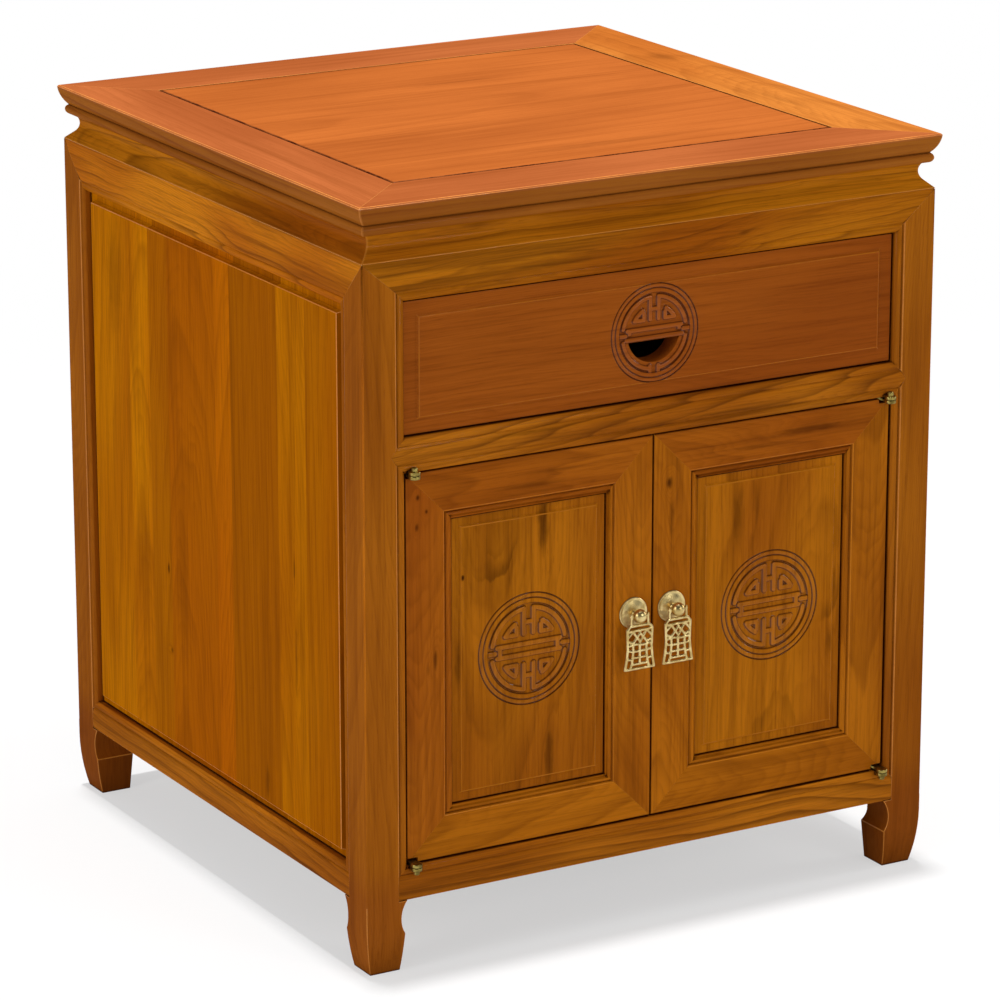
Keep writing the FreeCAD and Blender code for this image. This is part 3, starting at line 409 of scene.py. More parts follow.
def darkMarks(finish, look, run, side, radius, noises):  # the marks, and the rings that bend round them
    dark = 0.0
    ragged = noises["ragged"] - 0.5
    for mark in look.get("marks", []):
        strength = mark[-1]
        away = fromMark(mark, run, side)[0] + ragged * look["markRagged"]
        core = (1.0 - finish.band(away, *fades["markCore"])) * strength
        swell = look["spacing"] * look["markSwell"] * strength
        radius = radius + (1.0 - finish.band(away, *fades["markSwell"])) * swell
        dark = finish.larger(dark, core)
    for loop in look.get("loops", []):
        away, offAlong = fromMark(loop, run, side)
        away = away + (noises["wobble"] - 0.5) * look["markRagged"] + ragged * look["loopRagged"]
        outside = 1.0 - finish.band(away, *fades["loopOutside"])
        line = finish.band(away, *fades["loopInside"]) * outside * loop[-1]
        line = line * finish.band(offAlong, *fades["loopHalf"])
        dark = finish.larger(dark, line * finish.band(noises["patches"], *fades["loopPatch"]))
    return dark, radius


def ringLines(finish, look, ring, power, noises, kind):  # darker to the end of each ring, and patchy
    end = look["ringPeak"] - finish.band(ring, *fades[kind + "End"]) * look["ringPeak"]
    return ring ** power * end * finish.band(noises["patches"], *fades[kind + "Patch"])


def woodFinish(name, timber, along, seed, tone):
    look = dict(timberDefaults)
    look.update(timbers[timber])
    look.update(figures.get(name, {}))
    pick = random.Random(seed)
    finish = newFinish("wood_" + name)
    low, high = Vector(bounds[name][0]), Vector(bounds[name][1])
    size, centre = high - low, (high + low) / 2
    runAxis = "xyz".index(along)
    sideAxis, depthAxis = sorted({0, 1, 2} - {runAxis}, key=lambda axis: -size[axis])
    axes = finish.add("SeparateXYZ", {}, {0: finish.add("TexCoord", {}, {}, 3)}, (0, 1, 2))
    run, side = axes[runAxis] - centre[runAxis], axes[sideAxis] - centre[sideAxis]
    depth = (axes[depthAxis] - centre[depthAxis]) * (-1.0 if centre[depthAxis] > 0 else 1.0)
    shift = pick.uniform(*shiftReach)
    steps = boardSteps(look, size[sideAxis], pick)
    own = [run, side, depth]
    if steps:
        stops = [(at, (bright, red, pick.random())) for at, bright, red in steps]
        tints = finish.add("ValToRGB", {"stops": stops}, {0: side / size[sideAxis] + 0.5})
        tints = finish.add("SeparateColor", {}, {0: tints}, (0, 1, 2))
        own = [run + tints[2] * look["boardJump"][1], side + tints[2] * look["boardJump"][0], depth]
    noises = {kind: drawnOut(finish, kind, (run, own[1], depth), shift)
              for kind in ("wobble", "patches", "streaks", "fibre", "pores")}
    noises["slow"] = drawnOut(finish, "slow", own, shift)
    noises["ragged"] = drawnOut(finish, "ragged", (run, side, depth), shift)
    radius = pithDistance(look, pick, run, own, noises, bool(steps))
    dark, radius = darkMarks(finish, look, run, side, radius, noises)
    turns = radius / look["spacing"]
    vein = ringLines(finish, look, finish.fraction(turns), look["veinPower"], noises, "ring")
    fineTurns = turns * look["fineRings"] + noises["wobble"] * look["fineWobble"]
    fine = ringLines(finish, look, finish.fraction(fineTurns), look["finePower"], noises, "fine")
    shades = {key: tinted(paint(*look[key])[:3], (tone,) * 3) for key in ("light", "dark", "vein", "hollow")}
    colour = finish.mix(finish.band(noises["slow"], *fades["tone"]), shades["light"], shades["dark"])
    if steps:
        deep, reddish = [tinted(shades["dark"], look[tint]) for tint in ("deepTint", "redTint")]
        colour = finish.mix((1.0 - tints[0]) * look["deepShare"], colour, deep)
        colour = finish.mix(tints[1] * look["redShare"], colour, reddish)
    streaked = finish.band(noises["streaks"], *fades["streak"]) * look["streakShare"]
    colour = finish.mix(streaked, colour, shades["vein"])
    # Below a height the piece is tinted: painted shade on the top's moulded edges, and the feet darker and
    # redder
    if "lower" in look:
        start, end, tint, veins = look["lower"]
        beneath = 1.0 - finish.band(axes[2], start * mm, end * mm)
        colour = finish.mix(beneath, colour, tint + (1.0,), "MULTIPLY")
        vein = vein * (beneath * veins + 1.0)
    pores = finish.band(noises["pores"], *fades["pore"])
    fibres = finish.band(noises["fibre"], *fades["fibre"])
    for mask, kind in ((vein, "vein"), (fine, "fine"), (fibres, "fibre"), (pores, "pore")):
        colour = finish.mix(mask * look[kind + "Share"], colour, shades["vein"])
    if look.get("marks"):
        colour = finish.mix(dark, colour, tinted(shades["vein"], look["markTint"]))
    colour = shadeAndSheenColour(finish, look, colour, shades["hollow"])
    finish.feed(finish.shader.inputs["Base Color"], colour)
    matt = noises["fibre"] * look["fibreRoughness"] + look["roughness"]
    finish.feed(finish.shader.inputs["Roughness"], matt)
    fibreHeight, streakHeight, poreDepth = look["bumpShares"]
    height = noises["fibre"] * fibreHeight + noises["streaks"] * streakHeight - pores * poreDepth
    bump = {"Strength": look["bump"], "Distance": look["bumpHeight"], "Height": height}
    finish.feed(finish.shader.inputs["Normal"], finish.add("Bump", {}, bump))
    carved = finish.add("Attribute", {"attribute_name": "carved"}, {}, 2)
    finish.feed(finish.shader.inputs["Coat Weight"], carved * look["carvedCoat"] + look["coat"])
    finish.shader.inputs["Coat Roughness"].default_value = look["coatRoughness"]
    finish.shader.inputs["Specular IOR Level"].default_value = 0.0
    return finish.material


def shadeAndSheenColour(finish, look, colour, shadeAndSoil):
    # The hollows of the carving and the mouldings and the joints are darkened: painted shade found by
    # ambient occlusion, with the lacquer that gathers there
    stain = finish.add("Attribute", {"attribute_name": "stain"}, {}, 2)
    openness = finish.add("AmbientOcclusion", {"samples": 5}, {"Distance": look["hollowReach"]}, 1)
    hollow = finish.larger(stain, finish.band(1.0 - openness, *fades["hollow"]))
    colour = finish.mix(hollow * look["hollowShare"], colour, shadeAndSoil)
    # Rims and beads are painted brighter, as rubbed wood and as a painted highlight: close behind them the
    # light meets the next face from inside
    inward = {"samples": 4, "inside": True}
    solid = finish.add("AmbientOcclusion", inward, {"Distance": look["crestReach"]}, 1)
    crest = finish.band(1.0 - solid, *fades["crest"]) * (1.0 - hollow) * look["crestShare"]
    return finish.mix(crest, colour, paint(*look["arris"]))


arrisForm = {
    "cloudScale": 38.0, "cloudDetail": 4.0, "cloudRoughness": 0.6, "cloudShare": 0.5,
    "fleckScale": 420.0, "fleckShare": 0.4,
    "hollowReach": 3.0 * mm, "hollowShare": 0.9,
    "roughness": 0.2, "cloudGloss": 0.15,
    "coatRoughness": 0.12, "specular": 0.05,
}


def arrisFinish(timber):  # the eased edges, lighter as rubbed wood and as a painted highlight, with painted shade near other faces
    look = dict(timberDefaults)
    look.update(timbers[timber])
    form = arrisForm
    finish = newFinish("arris_" + timber)
    place = finish.add("TexCoord", {}, {}, 3)
    cloud = finish.noise(place, form["cloudScale"], form["cloudDetail"], form["cloudRoughness"])
    fleck = finish.noise(place, form["fleckScale"], 2.0)
    plain = finish.band(cloud, *fades["arrisPlain"]) * form["cloudShare"]
    colour = finish.mix(plain, paint(*look["arris"]), paint(*look["light"]))
    flecks = finish.band(fleck, *fades["arrisFleck"]) * form["fleckShare"]
    colour = finish.mix(flecks, colour, paint(*look["dark"]))
    # Painted shade where another face lies close to the eased edge
    openness = finish.add("AmbientOcclusion", {"samples": 5}, {"Distance": form["hollowReach"]}, 1)
    hollow = finish.band(1.0 - openness, *fades["arrisHollow"]) * form["hollowShare"]
    finish.feed(finish.shader.inputs["Base Color"], finish.mix(hollow, colour, paint(*look["hollow"])))
    finish.feed(finish.shader.inputs["Roughness"], cloud * form["cloudGloss"] + form["roughness"])
    finish.shader.inputs["Coat Weight"].default_value = look["arrisCoat"] if look["coat"] else 0.0
    finish.shader.inputs["Coat Roughness"].default_value = form["coatRoughness"]
    finish.shader.inputs["Specular IOR Level"].default_value = form["specular"]
    return finish.material


# Softened pieces: a copy of the CAD piece whose sharp edges are eased as a maker eases them

easing = {
    "joint": 0.12 * mm,     # on an edge that another piece touches
    "fitting": 0.3 * mm,    # on brass and steel
    "sharpAngle": 34.0,
    "leastFace": 1.5 * mm,
    "touching": 0.15 * mm,
    "probeIn": 0.3 * mm,    # where a neighbour is felt for: in from the edge and off the face
    "probeOff": 0.05 * mm,
    "weld": 0.002 * mm,
    "flatAngle": 0.8,
    "roundelShare": 1.002,  # edges this near a roundel's axis stay as they are
    "segments": 2,
}


def cadTree(name):
    mesh = nodes[name].data
    return BVHTree.FromPolygons([v.co for v in mesh.vertices], [p.vertices for p in mesh.polygons])


trees = {name: cadTree(name) for name in nodes}


def neighboursOf(name, reach):
    low, high = bounds[name]
    found = []
    for other, (otherLow, otherHigh) in bounds.items():
        apart = any(otherLow[i] > high[i] + reach or otherHigh[i] < low[i] - reach for i in range(3))
        if other != name and not apart:
            found.append(trees[other])
    return found


def faceReach(face, edge):  # how far a face runs from one of its edges
    start = edge.verts[0].co
    way = (edge.verts[1].co - start).normalized()
    return max(((v.co - start) - way * (v.co - start).dot(way)).length for v in face.verts)


def cleanMesh(name):
    work = bmesh.new()
    work.from_mesh(nodes[name].data)
    bmesh.ops.remove_doubles(work, verts=work.verts, dist=easing["weld"])
    bmesh.ops.dissolve_limit(work, angle_limit=radians(easing["flatAngle"]), verts=work.verts,
                             edges=work.edges, delimit={"NORMAL"})
    return work


def markEdges(work, name, ease):
    weights = work.edges.layers.float
    layer = weights.get("bevel_weight_edge") or weights.new("bevel_weight_edge")
    near = neighboursOf(name, easing["touching"])
    carved = roundels.get(name)
    for edge in work.edges:
        middle = (edge.verts[0].co + edge.verts[1].co) / 2
        if carved:
            out = hypot(middle.x - carved["x"], middle.z - carved["z"])
            if out < carved["radius"] * easing["roundelShare"]:
                continue
        if len(edge.link_faces) != 2 or not edge.is_convex:
            continue
        if degrees(edge.calc_face_angle()) < easing["sharpAngle"]:
            continue
        reach = min(faceReach(face, edge) for face in edge.link_faces)
        if reach < easing["leastFace"] or edge.calc_length() < easing["leastFace"]:
            continue
        joint = False
        for face in edge.link_faces:
            inward = (face.calc_center_median() - middle).normalized()
            spot = middle + inward * easing["probeIn"] + face.normal * easing["probeOff"]
            joint = joint or any(tree.find_nearest(spot, easing["touching"])[0] for tree in near)
        edge[layer] = easing["joint"] / ease if joint else 1.0


def meshOf(work, name):
    mesh = bpy.data.meshes.new(name)
    work.to_mesh(mesh)
    work.free()
    mesh.shade_smooth()
    mesh.set_sharp_from_angle(angle=radians(easing["sharpAngle"]))
    return mesh


def addPiece(name, mesh, material, body):
    piece = bpy.data.objects.new(name, mesh)
    mesh.materials.clear()
    mesh.materials.append(material)
    bpy.context.scene.collection.objects.link(piece)
    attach(piece, body)
    return piece


def applyModifiers(piece):
    shown = piece.evaluated_get(bpy.context.evaluated_depsgraph_get())
    mesh = bpy.data.meshes.new_from_object(shown)
    piece.modifiers.clear()
    piece.data = mesh


def easedPiece(name, work, material, edgeMaterial, ease):
    markEdges(work, name, ease)
    mesh = meshOf(work, name + "_eased")
    piece = addPiece(name + "_eased", mesh, material, nodeBody[name])
    mesh.materials.append(edgeMaterial)
    bevel = piece.modifiers.new("ease", "BEVEL")
    bevel.material = 1
    bevel.limit_method = "WEIGHT"
    bevel.width = ease
    bevel.segments = easing["segments"]
    bevel.use_clamp_overlap = False
    bevel.miter_outer = "MITER_ARC"
    even = piece.modifiers.new("even", "WEIGHTED_NORMAL")
    even.mode = "FACE_AREA"
    even.keep_sharp = True
    applyModifiers(piece)
    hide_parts(name)


# Carved roundels: a fret of raised strokes in a sunk ground, inside a bead between two grooves.
# Places are shares of the roundel's radius, and a quarter is drawn once and mirrored

doorRoundel = {"z": 260.75 * mm, "radius": 49.0 * mm, "face": -265.85 * mm}
roundels = {
    "left_door_panel": dict(doorRoundel, x=-118.35 * mm),
    "right_door_panel": dict(doorRoundel, x=118.35 * mm),
    "drawer_front": {"x": 0.0, "z": 515.5 * mm, "radius": 42.5 * mm, "face": -267.75 * mm,
                     "holeRadius": 0.60, "holeTop": -0.15},
}

relief = {
    "grid": 0.55 * mm,
    "ground": 1.7 * mm,
    "clear": 1.85 * mm,       # how far in the CAD's plain sunk disc is cut away
    "groove": 1.2 * mm,
    "strokeHalf": 0.047,
    "strokeTop": 0.12 * mm,
    "crown": 0.45 * mm,
    "wall": (0.72, 1.32),     # where a stroke's side starts and ends, in halves of its width
    "bandWall": (0.788, 0.814),
    "outerGroove": 0.985,
    "innerGroove": 0.895,
    "grooveHalf": 0.017,
    "beadCrown": 0.54 * mm,
    "groovePower": 0.8,
    "carvedShadePower": 0.7,
    "slopeStep": 0.002,
    "glossSlope": 0.4,
    "rimAir": 0.4,            # free of grid points along the rim and the hole, in steps of the grid
    "holeAir": 0.5,
    "rimShare": 1.0005,
    "weld": 1e-5,
}

# A quarter of the fret: an arc is (radius, first and last angle in degrees), a bar runs between two points
outerArc = 0.722
hookArc = 0.530
quarterStrokes = [
    ("arc", outerArc, 11.0, 82.5),
    ("bar", (0.095, 0.27), (0.095, 0.715)),
    ("bar", (0.0, 0.475), (0.095, 0.475)),
    ("bar", (0.0, 0.092), (0.615, 0.092)),
    ("bar", (0.565, 0.0), (0.565, 0.092)),
    ("bar", (0.655, 0.0), (0.82, 0.0)),
    ("arc", hookArc, 31.0, 60.0),
    ("bar", (0.240, 0.270), (0.455, 0.272)),
    ("bar", (0.240, 0.270), (0.240, 0.400)),
]
holeStrokes = [  # under the drawer's double bar, round the finger hole
    ("arc", outerArc, 11.0, 80.0),
    ("bar", (0.0, 0.092), (0.640, 0.092)),
    ("bar", (0.655, 0.0), (0.82, 0.0)),
    ("bar", (0.095, 0.665), (0.095, 0.80)),
]


def strokeDistance(stroke, x, z):  # how far points lie from the middle line of a stroke
    if stroke[0] == "bar":
        (x1, z1), (x2, z2) = stroke[1:]
        runX, runZ = x2 - x1, z2 - z1
        share = np.clip(((x - x1) * runX + (z - z1) * runZ) / (runX ** 2 + runZ ** 2), 0, 1)
        return np.hypot(x - x1 - share * runX, z - z1 - share * runZ)
    radius, first, last = stroke[1], radians(stroke[2]), radians(stroke[3])
    turn = np.clip(np.arctan2(z, x), first, last)
    return np.hypot(x - radius * np.cos(turn), z - radius * np.sin(turn))


def smoothRise(value, low, high):
    share = np.clip((value - low) / (high - low), 0, 1)
    return share * share * (3 - 2 * share)


def carvedDepth(x, z, spec):  # depth of the carving and its painted shade along the walls and in the grooves, at places in shares of the radius
    out = np.hypot(x, z)
    mirrored = np.abs(x), np.abs(z)
    nearest = np.min([strokeDistance(stroke, *mirrored) for stroke in quarterStrokes], axis=0)
    if "holeRadius" in spec:
        below = np.min([strokeDistance(stroke, *mirrored) for stroke in holeStrokes], axis=0)
        nearest = np.where(z < 0, below, nearest)
    reach = nearest / relief["strokeHalf"]
    stroke = relief["strokeTop"] + relief["crown"] * np.clip(reach, 0, 1) ** 2
    wall = smoothRise(reach, *relief["wall"])
    depth = stroke + (relief["ground"] - stroke) * wall
    band = smoothRise(out, *relief["bandWall"])
    depth = depth + (relief["strokeTop"] - depth) * band
    # Painted shade along the walls of the strokes and of the band, and below in the grooves
    stain = 4 * wall * (1 - wall) * (1 - band) + 4 * band * (1 - band)
    bead = (relief["outerGroove"] + relief["innerGroove"]) / 2
    beadHalf = (relief["outerGroove"] - relief["innerGroove"]) / 2
    crown = np.clip(1 - ((out - bead) / beadHalf) ** 2, 0, 1)
    depth = np.where(np.abs(out - bead) < beadHalf, relief["beadCrown"] * (1 - np.sqrt(crown)), depth)
    for middle in (relief["outerGroove"], relief["innerGroove"]):
        cut = np.clip(1 - np.abs(out - middle) / relief["grooveHalf"], 0, 1)
        depth = np.maximum(depth, relief["groove"] * cut ** relief["groovePower"])
        stain = np.maximum(stain, cut ** relief["carvedShadePower"])
    return depth, stain


def carvedSlope(x, z, spec):  # how steep the carving is there
    step = relief["slopeStep"]
    across = carvedDepth(x + step, z, spec)[0] - carvedDepth(x - step, z, spec)[0]
    along = carvedDepth(x, z + step, spec)[0] - carvedDepth(x, z - step, spec)[0]
    return np.hypot(across, along) / (2 * step * spec["radius"])


def inHole(x, z, spec, margin):
    if "holeRadius" not in spec:
        return False
    return hypot(x, z) < spec["holeRadius"] + margin and z < spec["holeTop"] + margin


def gridPoints(spec):  # an even net of points over the roundel, in mm from its middle
    pitch = relief["grid"] / spec["radius"]
    rise = sqrt(0.75)  # from row to row, in steps of the grid
    steps = int(1 / (pitch * rise)) + 1
    points = []
    for row in range(-steps, steps + 1):
        for column in range(-steps, steps + 1):
            x, z = (column + (row % 2) / 2) * pitch, row * pitch * rise
            clear = not inHole(x, z, spec, relief["holeAir"] * pitch)
            if hypot(x, z) < 1 - relief["rimAir"] * pitch and clear:
                points.append((x * spec["radius"] / mm, z * spec["radius"] / mm))
    return points


def carveRoundel(work, spec):
    # The painted shade of the carving's walls and grooves, and its slopes that take more coat, kept on the
    # vertices
    for layer in ("stain", "carved"):
        work.verts.layers.float.new(layer)
    carvedShadeLayer, carvedLayer = [work.verts.layers.float.get(layer) for layer in ("stain", "carved")]
    radius = spec["radius"]

    def sunk(vert):
        out = hypot(vert.co.x - spec["x"], vert.co.z - spec["z"])
        return out < radius * relief["rimShare"] and vert.co.y < spec["face"] + relief["clear"]

    plain = [face for face in work.faces if all(sunk(vert) for vert in face.verts)]
    bmesh.ops.delete(work, geom=plain, context="FACES")
    rim = [edge for edge in work.edges if edge.is_boundary]
    corners = sorted({vert for edge in rim for vert in edge.verts}, key=lambda vert: vert.index)
    place = {vert: index for index, vert in enumerate(corners)}
    points = [((v.co.x - spec["x"]) / mm, (v.co.z - spec["z"]) / mm) for v in corners] + gridPoints(spec)
    edges = [(place[edge.verts[0]], place[edge.verts[1]]) for edge in rim]
    found = delaunay_2d_cdt([Vector(point) for point in points], edges, [], 1, relief["weld"])
    origins, triangles = found[3], found[2]
    flat = np.array([tuple(co) for co in found[0]]) * mm / radius
    depths, carvedShades = carvedDepth(flat[:, 0], flat[:, 1], spec)
    glossy = np.clip(carvedSlope(flat[:, 0], flat[:, 1], spec) / relief["glossSlope"], 0, 1)
    verts = []
    for index, sources in enumerate(origins):
        corner = [source for source in sources if source < len(corners)]
        if corner:
            verts.append(corners[corner[0]])
        else:
            x, z = flat[index] * radius
            verts.append(work.verts.new((spec["x"] + x, spec["face"] + depths[index], spec["z"] + z)))
            verts[-1][carvedShadeLayer] = carvedShades[index]
            verts[-1][carvedLayer] = glossy[index]
    for triangle in triangles:
        middle = sum((Vector(flat[index]) for index in triangle), Vector((0, 0))) / 3
        if middle.length < 1 and not inHole(middle.x, middle.y, spec, 0):
            face = work.faces.new([verts[index] for index in triangle])
            face.normal_update()
            if face.normal.y > 0:
                face.normal_flip()


# Which timber each piece is cut from, the way its grain runs, and how dark it is

woodPieces = {
    "top_panel": ("topPanel", "x", 1.0),
    "top_frame_front": ("top", "x", 0.97), "top_frame_back": ("top", "x", 0.98),
    "top_frame_left": ("top", "y", 0.98), "top_frame_right": ("topGold", "y", 1.0),
    "waist_front": ("crown", "x", 1.0), "waist_back": ("crown", "x", 0.95),
    "waist_left": ("crown", "y", 1.0), "waist_right": ("crown", "y", 0.95),
    "front_top_rail": ("crown", "x", 1.0), "back_top_rail": ("crown", "x", 0.95),
    "left_top_rail": ("crown", "y", 1.3), "right_top_rail": ("crown", "y", 1.0),
    "front_mid_rail": ("rail", "x", 1.0), "front_bottom_rail": ("rail", "x", 1.0),
    "back_bottom_rail": ("rail", "x", 0.95),
    "left_bottom_rail": ("rail", "y", 1.0), "right_bottom_rail": ("rail", "y", 1.0),
    "front_left_post": ("post", "z", 1.0), "front_right_post": ("post", "z", 0.92),
    "back_left_post": ("post", "z", 0.95), "back_right_post": ("post", "z", 0.95),
    "left_side_panel": ("side", "z", 1.0), "right_side_panel": ("side", "z", 1.0),
    "back_panel": ("side", "z", 0.95),
    "drawer_front": ("drawer", "x", 1.0),
    "bottom_panel": ("inner", "y", 0.9), "dust_panel": ("inner", "y", 0.9),
    "inner_back_rail": ("inner", "x", 0.95), "top_battens": ("inner", "x", 0.95),
    "drawer_left_side": ("inner", "y", 1.0), "drawer_right_side": ("inner", "y", 0.97),
    "drawer_back": ("inner", "x", 0.95), "drawer_bottom": ("inner", "x", 0.9),
    "drawer_runners": ("inner", "y", 0.95), "drawer_kickers": ("inner", "y", 0.95),
    "door_stop": ("inner", "x", 0.95),
}
for hand in ("left", "right"):
    woodPieces.update({
        hand + "_door_hinge_stile": ("redFrame" if hand == "left" else "doorFrame", "z", 0.98),
        hand + "_door_meeting_stile": ("doorFrame", "z", 1.06),
        hand + "_door_top_rail": ("redFrame", "x", 0.95),
        hand + "_door_bottom_rail": ("doorFrame", "x", 0.98),
        hand + "_door_panel": ("doorPanel", "z", 1.0),
    })

firstSeed = 11
arrises = {timber: arrisFinish(timber) for timber in timbers}
for seed, name in enumerate(sorted(woodPieces), firstSeed):
    timber, along, tone = woodPieces[name]
    material = woodFinish(name, timber, along, seed, tone)
    work = cleanMesh(name)
    if name in roundels:
        carveRoundel(work, roundels[name])
    ease = timbers[timber].get("ease", timberDefaults["ease"])
    easedPiece(name, work, material, arrises[timber], ease)
print("wood pieces eased:", len(woodPieces))


# Brass and steel fittings

brassLook = {
    "bright": (232, 208, 146),
    "dull": (204, 176, 112),
    "shadeAndSoil": (110, 92, 50),
    "rough": 0.26,
}
hingeLook = {"bright": (176, 156, 84), "dull": (116, 100, 48), "shadeAndSoil": (110, 92, 50), "rough": 0.30}
zincLook = {"bright": (190, 190, 188), "dull": (160, 160, 160), "shadeAndSoil": (96, 96, 94), "rough": 0.30}

metalForm = {
    "cloudScale": 160.0, "cloudDetail": 3.0, "cloudFade": (0.38, 0.66),
    "glossFade": (0.2, 0.8), "glossShare": 0.14,
    "soilFade": (0.01, 0.09), "soilShare": 0.8,
    "grainScale": 1500.0, "grainDetail": 3.0, "bump": 0.07, "bumpHeight": 0.08 * mm,
}


def metalFinish(name, look):
    finish = newFinish(name)
    form = metalForm
    place = finish.add("TexCoord", {}, {}, 3)
    cloud = finish.noise(place, form["cloudScale"], form["cloudDetail"])
    grain = finish.noise(place, form["grainScale"], form["grainDetail"])
    pointed = finish.add("NewGeometry", {}, {}, 7)
    worn = finish.mix(finish.band(cloud, *form["cloudFade"]), paint(*look["bright"]), paint(*look["dull"]))
    soil = finish.band(0.5 - pointed, *form["soilFade"]) * form["soilShare"]
    finish.feed(finish.shader.inputs["Base Color"], finish.mix(soil, worn, paint(*look["shadeAndSoil"])))
    gloss = finish.band(cloud, *form["glossFade"]) * form["glossShare"] + look["rough"]
    finish.feed(finish.shader.inputs["Roughness"], gloss)
    bump = {"Strength": form["bump"], "Distance": form["bumpHeight"], "Height": grain}
    finish.feed(finish.shader.inputs["Normal"], finish.add("Bump", {}, bump))
    finish.shader.inputs["Metallic"].default_value = 1.0
    return finish.material


brass = metalFinish("agedBrass", brassLook)
hingeBrass = metalFinish("hingeBrass", hingeLook)
zinc = metalFinish("zincPlate", zincLook)
metals = {"brass": hingeBrass, "steel": zinc, "magnet": zinc}

# Knuckles and pins of the pivot hinges, turned afresh round their axes
hinge = {
    "axisX": 231.5 * mm,
    "axisY": -275.75 * mm,
    "levels": (428.75 * mm, 92.75 * mm),  # the joints between the knuckles
    "barrel": 5.1 * mm,                   # faces within this of an axis give way to the turned knuckle
    "sides": 48,
}
# Outlines as (radius, height over the joint of the knuckles), in mm
knuckleOutline = [(2.8, 0.1), (4.55, 0.1), (4.9, 0.35), (5.0, 0.8), (5.0, 2.4), (4.85, 2.9), (4.4, 3.25),
                  (2.8, 3.3)]
pinOutline = [(0.0, -3.2), (2.7, -3.2), (2.7, 3.2), (2.72, 5.6), (2.6, 6.2), (2.1, 6.7), (1.1, 6.88),
              (0.0, 6.9)]


def addTurning(work, outline, sides, spot):  # spot places what lies so far across, up and along the axis
    rings = []
    for radius, along in outline:
        turns = [2 * pi * step / sides for step in range(sides)] if radius else [0.0]
        places = [spot(radius * mm * cos(turn), radius * mm * sin(turn), along * mm) for turn in turns]
        rings.append([work.verts.new(place) for place in places])
    made = []
    for near, far in zip(rings, rings[1:]):
        for step in range(sides):
            loop = [near[step - 1], near[step]] if len(near) > 1 else [near[0]]
            loop += [far[step], far[step - 1]] if len(far) > 1 else [far[0]]
            made.append(work.faces.new(loop))
    bmesh.ops.recalc_face_normals(work, faces=made)
    return rings


def addHingeTurning(work, outline, x, level, way):
    def spot(across, out, along):
        return x + across, hinge["axisY"] + out, level + way * along

    addTurning(work, outline, hinge["sides"], spot)


def hingeMesh(name):
    work = cleanMesh(name)
    places = [(side * hinge["axisX"], level, 1 if level == hinge["levels"][0] else -1)
              for side in (-1, 1) for level in hinge["levels"]]
    if name == "hinge_pins":
        work.clear()
        for x, level, up in places:
            addHingeTurning(work, pinOutline, x, level, up)
        return work
    low, high = bounds[name]
    places = [place for place in places if low[0] < place[0] < high[0]]
    barrels = [face for face in work.faces if any(all(
        hypot(v.co.x - x, v.co.y - hinge["axisY"]) < hinge["barrel"] for v in face.verts)
        for x, level, up in places)]
    bmesh.ops.delete(work, geom=barrels, context="FACES")
    for x, level, up in places:
        addHingeTurning(work, knuckleOutline, x, level, up if name.startswith("carcass") else -up)
    return work


for name, slot in nodeSlot.items():
    if name not in woodPieces and "_pull_" not in name:
        hinged = name == "hinge_pins" or name.endswith("hinge_leaves")
        work = hingeMesh(name) if hinged else cleanMesh(name)
        easedPiece(name, work, metals[slot], metals[slot], easing["fitting"])
print("fittings eased")


# Door pulls: a domed rosette, a turned ball and a cast pendant with a plain slanting lattice

pull = {
    "axis": (18.8 * mm, -278.25 * mm, 276.25 * mm),  # the middle of the right pull's pin
    "doorFace": -267.75 * mm,
    "turnedSides": 72,
}

# Turned outlines as (radius, distance from the door face), in mm
rosetteOutline = [(13.5, 0.0), (13.5, 0.45), (13.1, 0.85), (12.2, 0.95), (11.6, 0.80), (11.0, 0.95),
                  (9.0, 1.6), (6.5, 2.25), (4.6, 2.6), (3.0, 2.75)]
ballOutline = [(3.0, 2.2), (3.1, 3.6), (2.7, 4.2), (3.0, 4.9), (4.3, 6.3), (5.3, 7.9), (5.85, 9.6),
               (6.0, 10.9), (5.7, 12.6), (4.9, 14.2), (3.5, 15.5), (1.8, 16.25), (0.0, 16.48)]

# The pendant as seen from the front, in mm about the pin
rimHalf = [(9.3, -8.0), (12.2, -11.2), (11.9, -20.0), (11.6, -27.0), (12.4, -36.0), (14.1, -45.6)]
pendantRim = [(-9.3, -8.0)] + rimHalf + [(-x, z) for x, z in reversed(rimHalf)]
pendantBars = [
    [(-12.0, -12.6), (12.0, -12.0)],
    [(-12.0, -18.2), (-6.6, -13.0), (0.4, -22.6), (6.6, -12.6), (12.0, -18.2)],
    [(-11.8, -21.0), (-6.2, -22.8), (0.4, -14.6), (6.8, -22.6), (11.8, -20.6)],
    [(-11.7, -25.0), (-3.4, -24.2), (3.2, -25.2), (11.8, -24.4)],
    [(-6.6, -24.6), (-6.2, -30.4), (6.4, -30.2), (6.8, -24.8)],
    [(-6.2, -30.4), (-7.6, -41.6), (8.0, -41.4), (6.4, -30.2)],
    [(-6.9, -36.0), (7.2, -35.8)], [(0.1, -25.0), (0.2, -41.4)],
    [(-11.8, -29.0), (-6.2, -30.4)], [(11.9, -29.4), (6.4, -30.2)],
    [(-12.4, -36.4), (-7.0, -37.6)], [(12.6, -36.8), (7.4, -37.4)],
    [(-7.6, -41.6), (-9.4, -45.6)], [(8.0, -41.4), (9.8, -45.6)],
]
pendantArm = [(7.9, -8.4), (8.3, -5.0), (8.1, -2.0), (7.9, 0.0), (8.0, 1.6)]
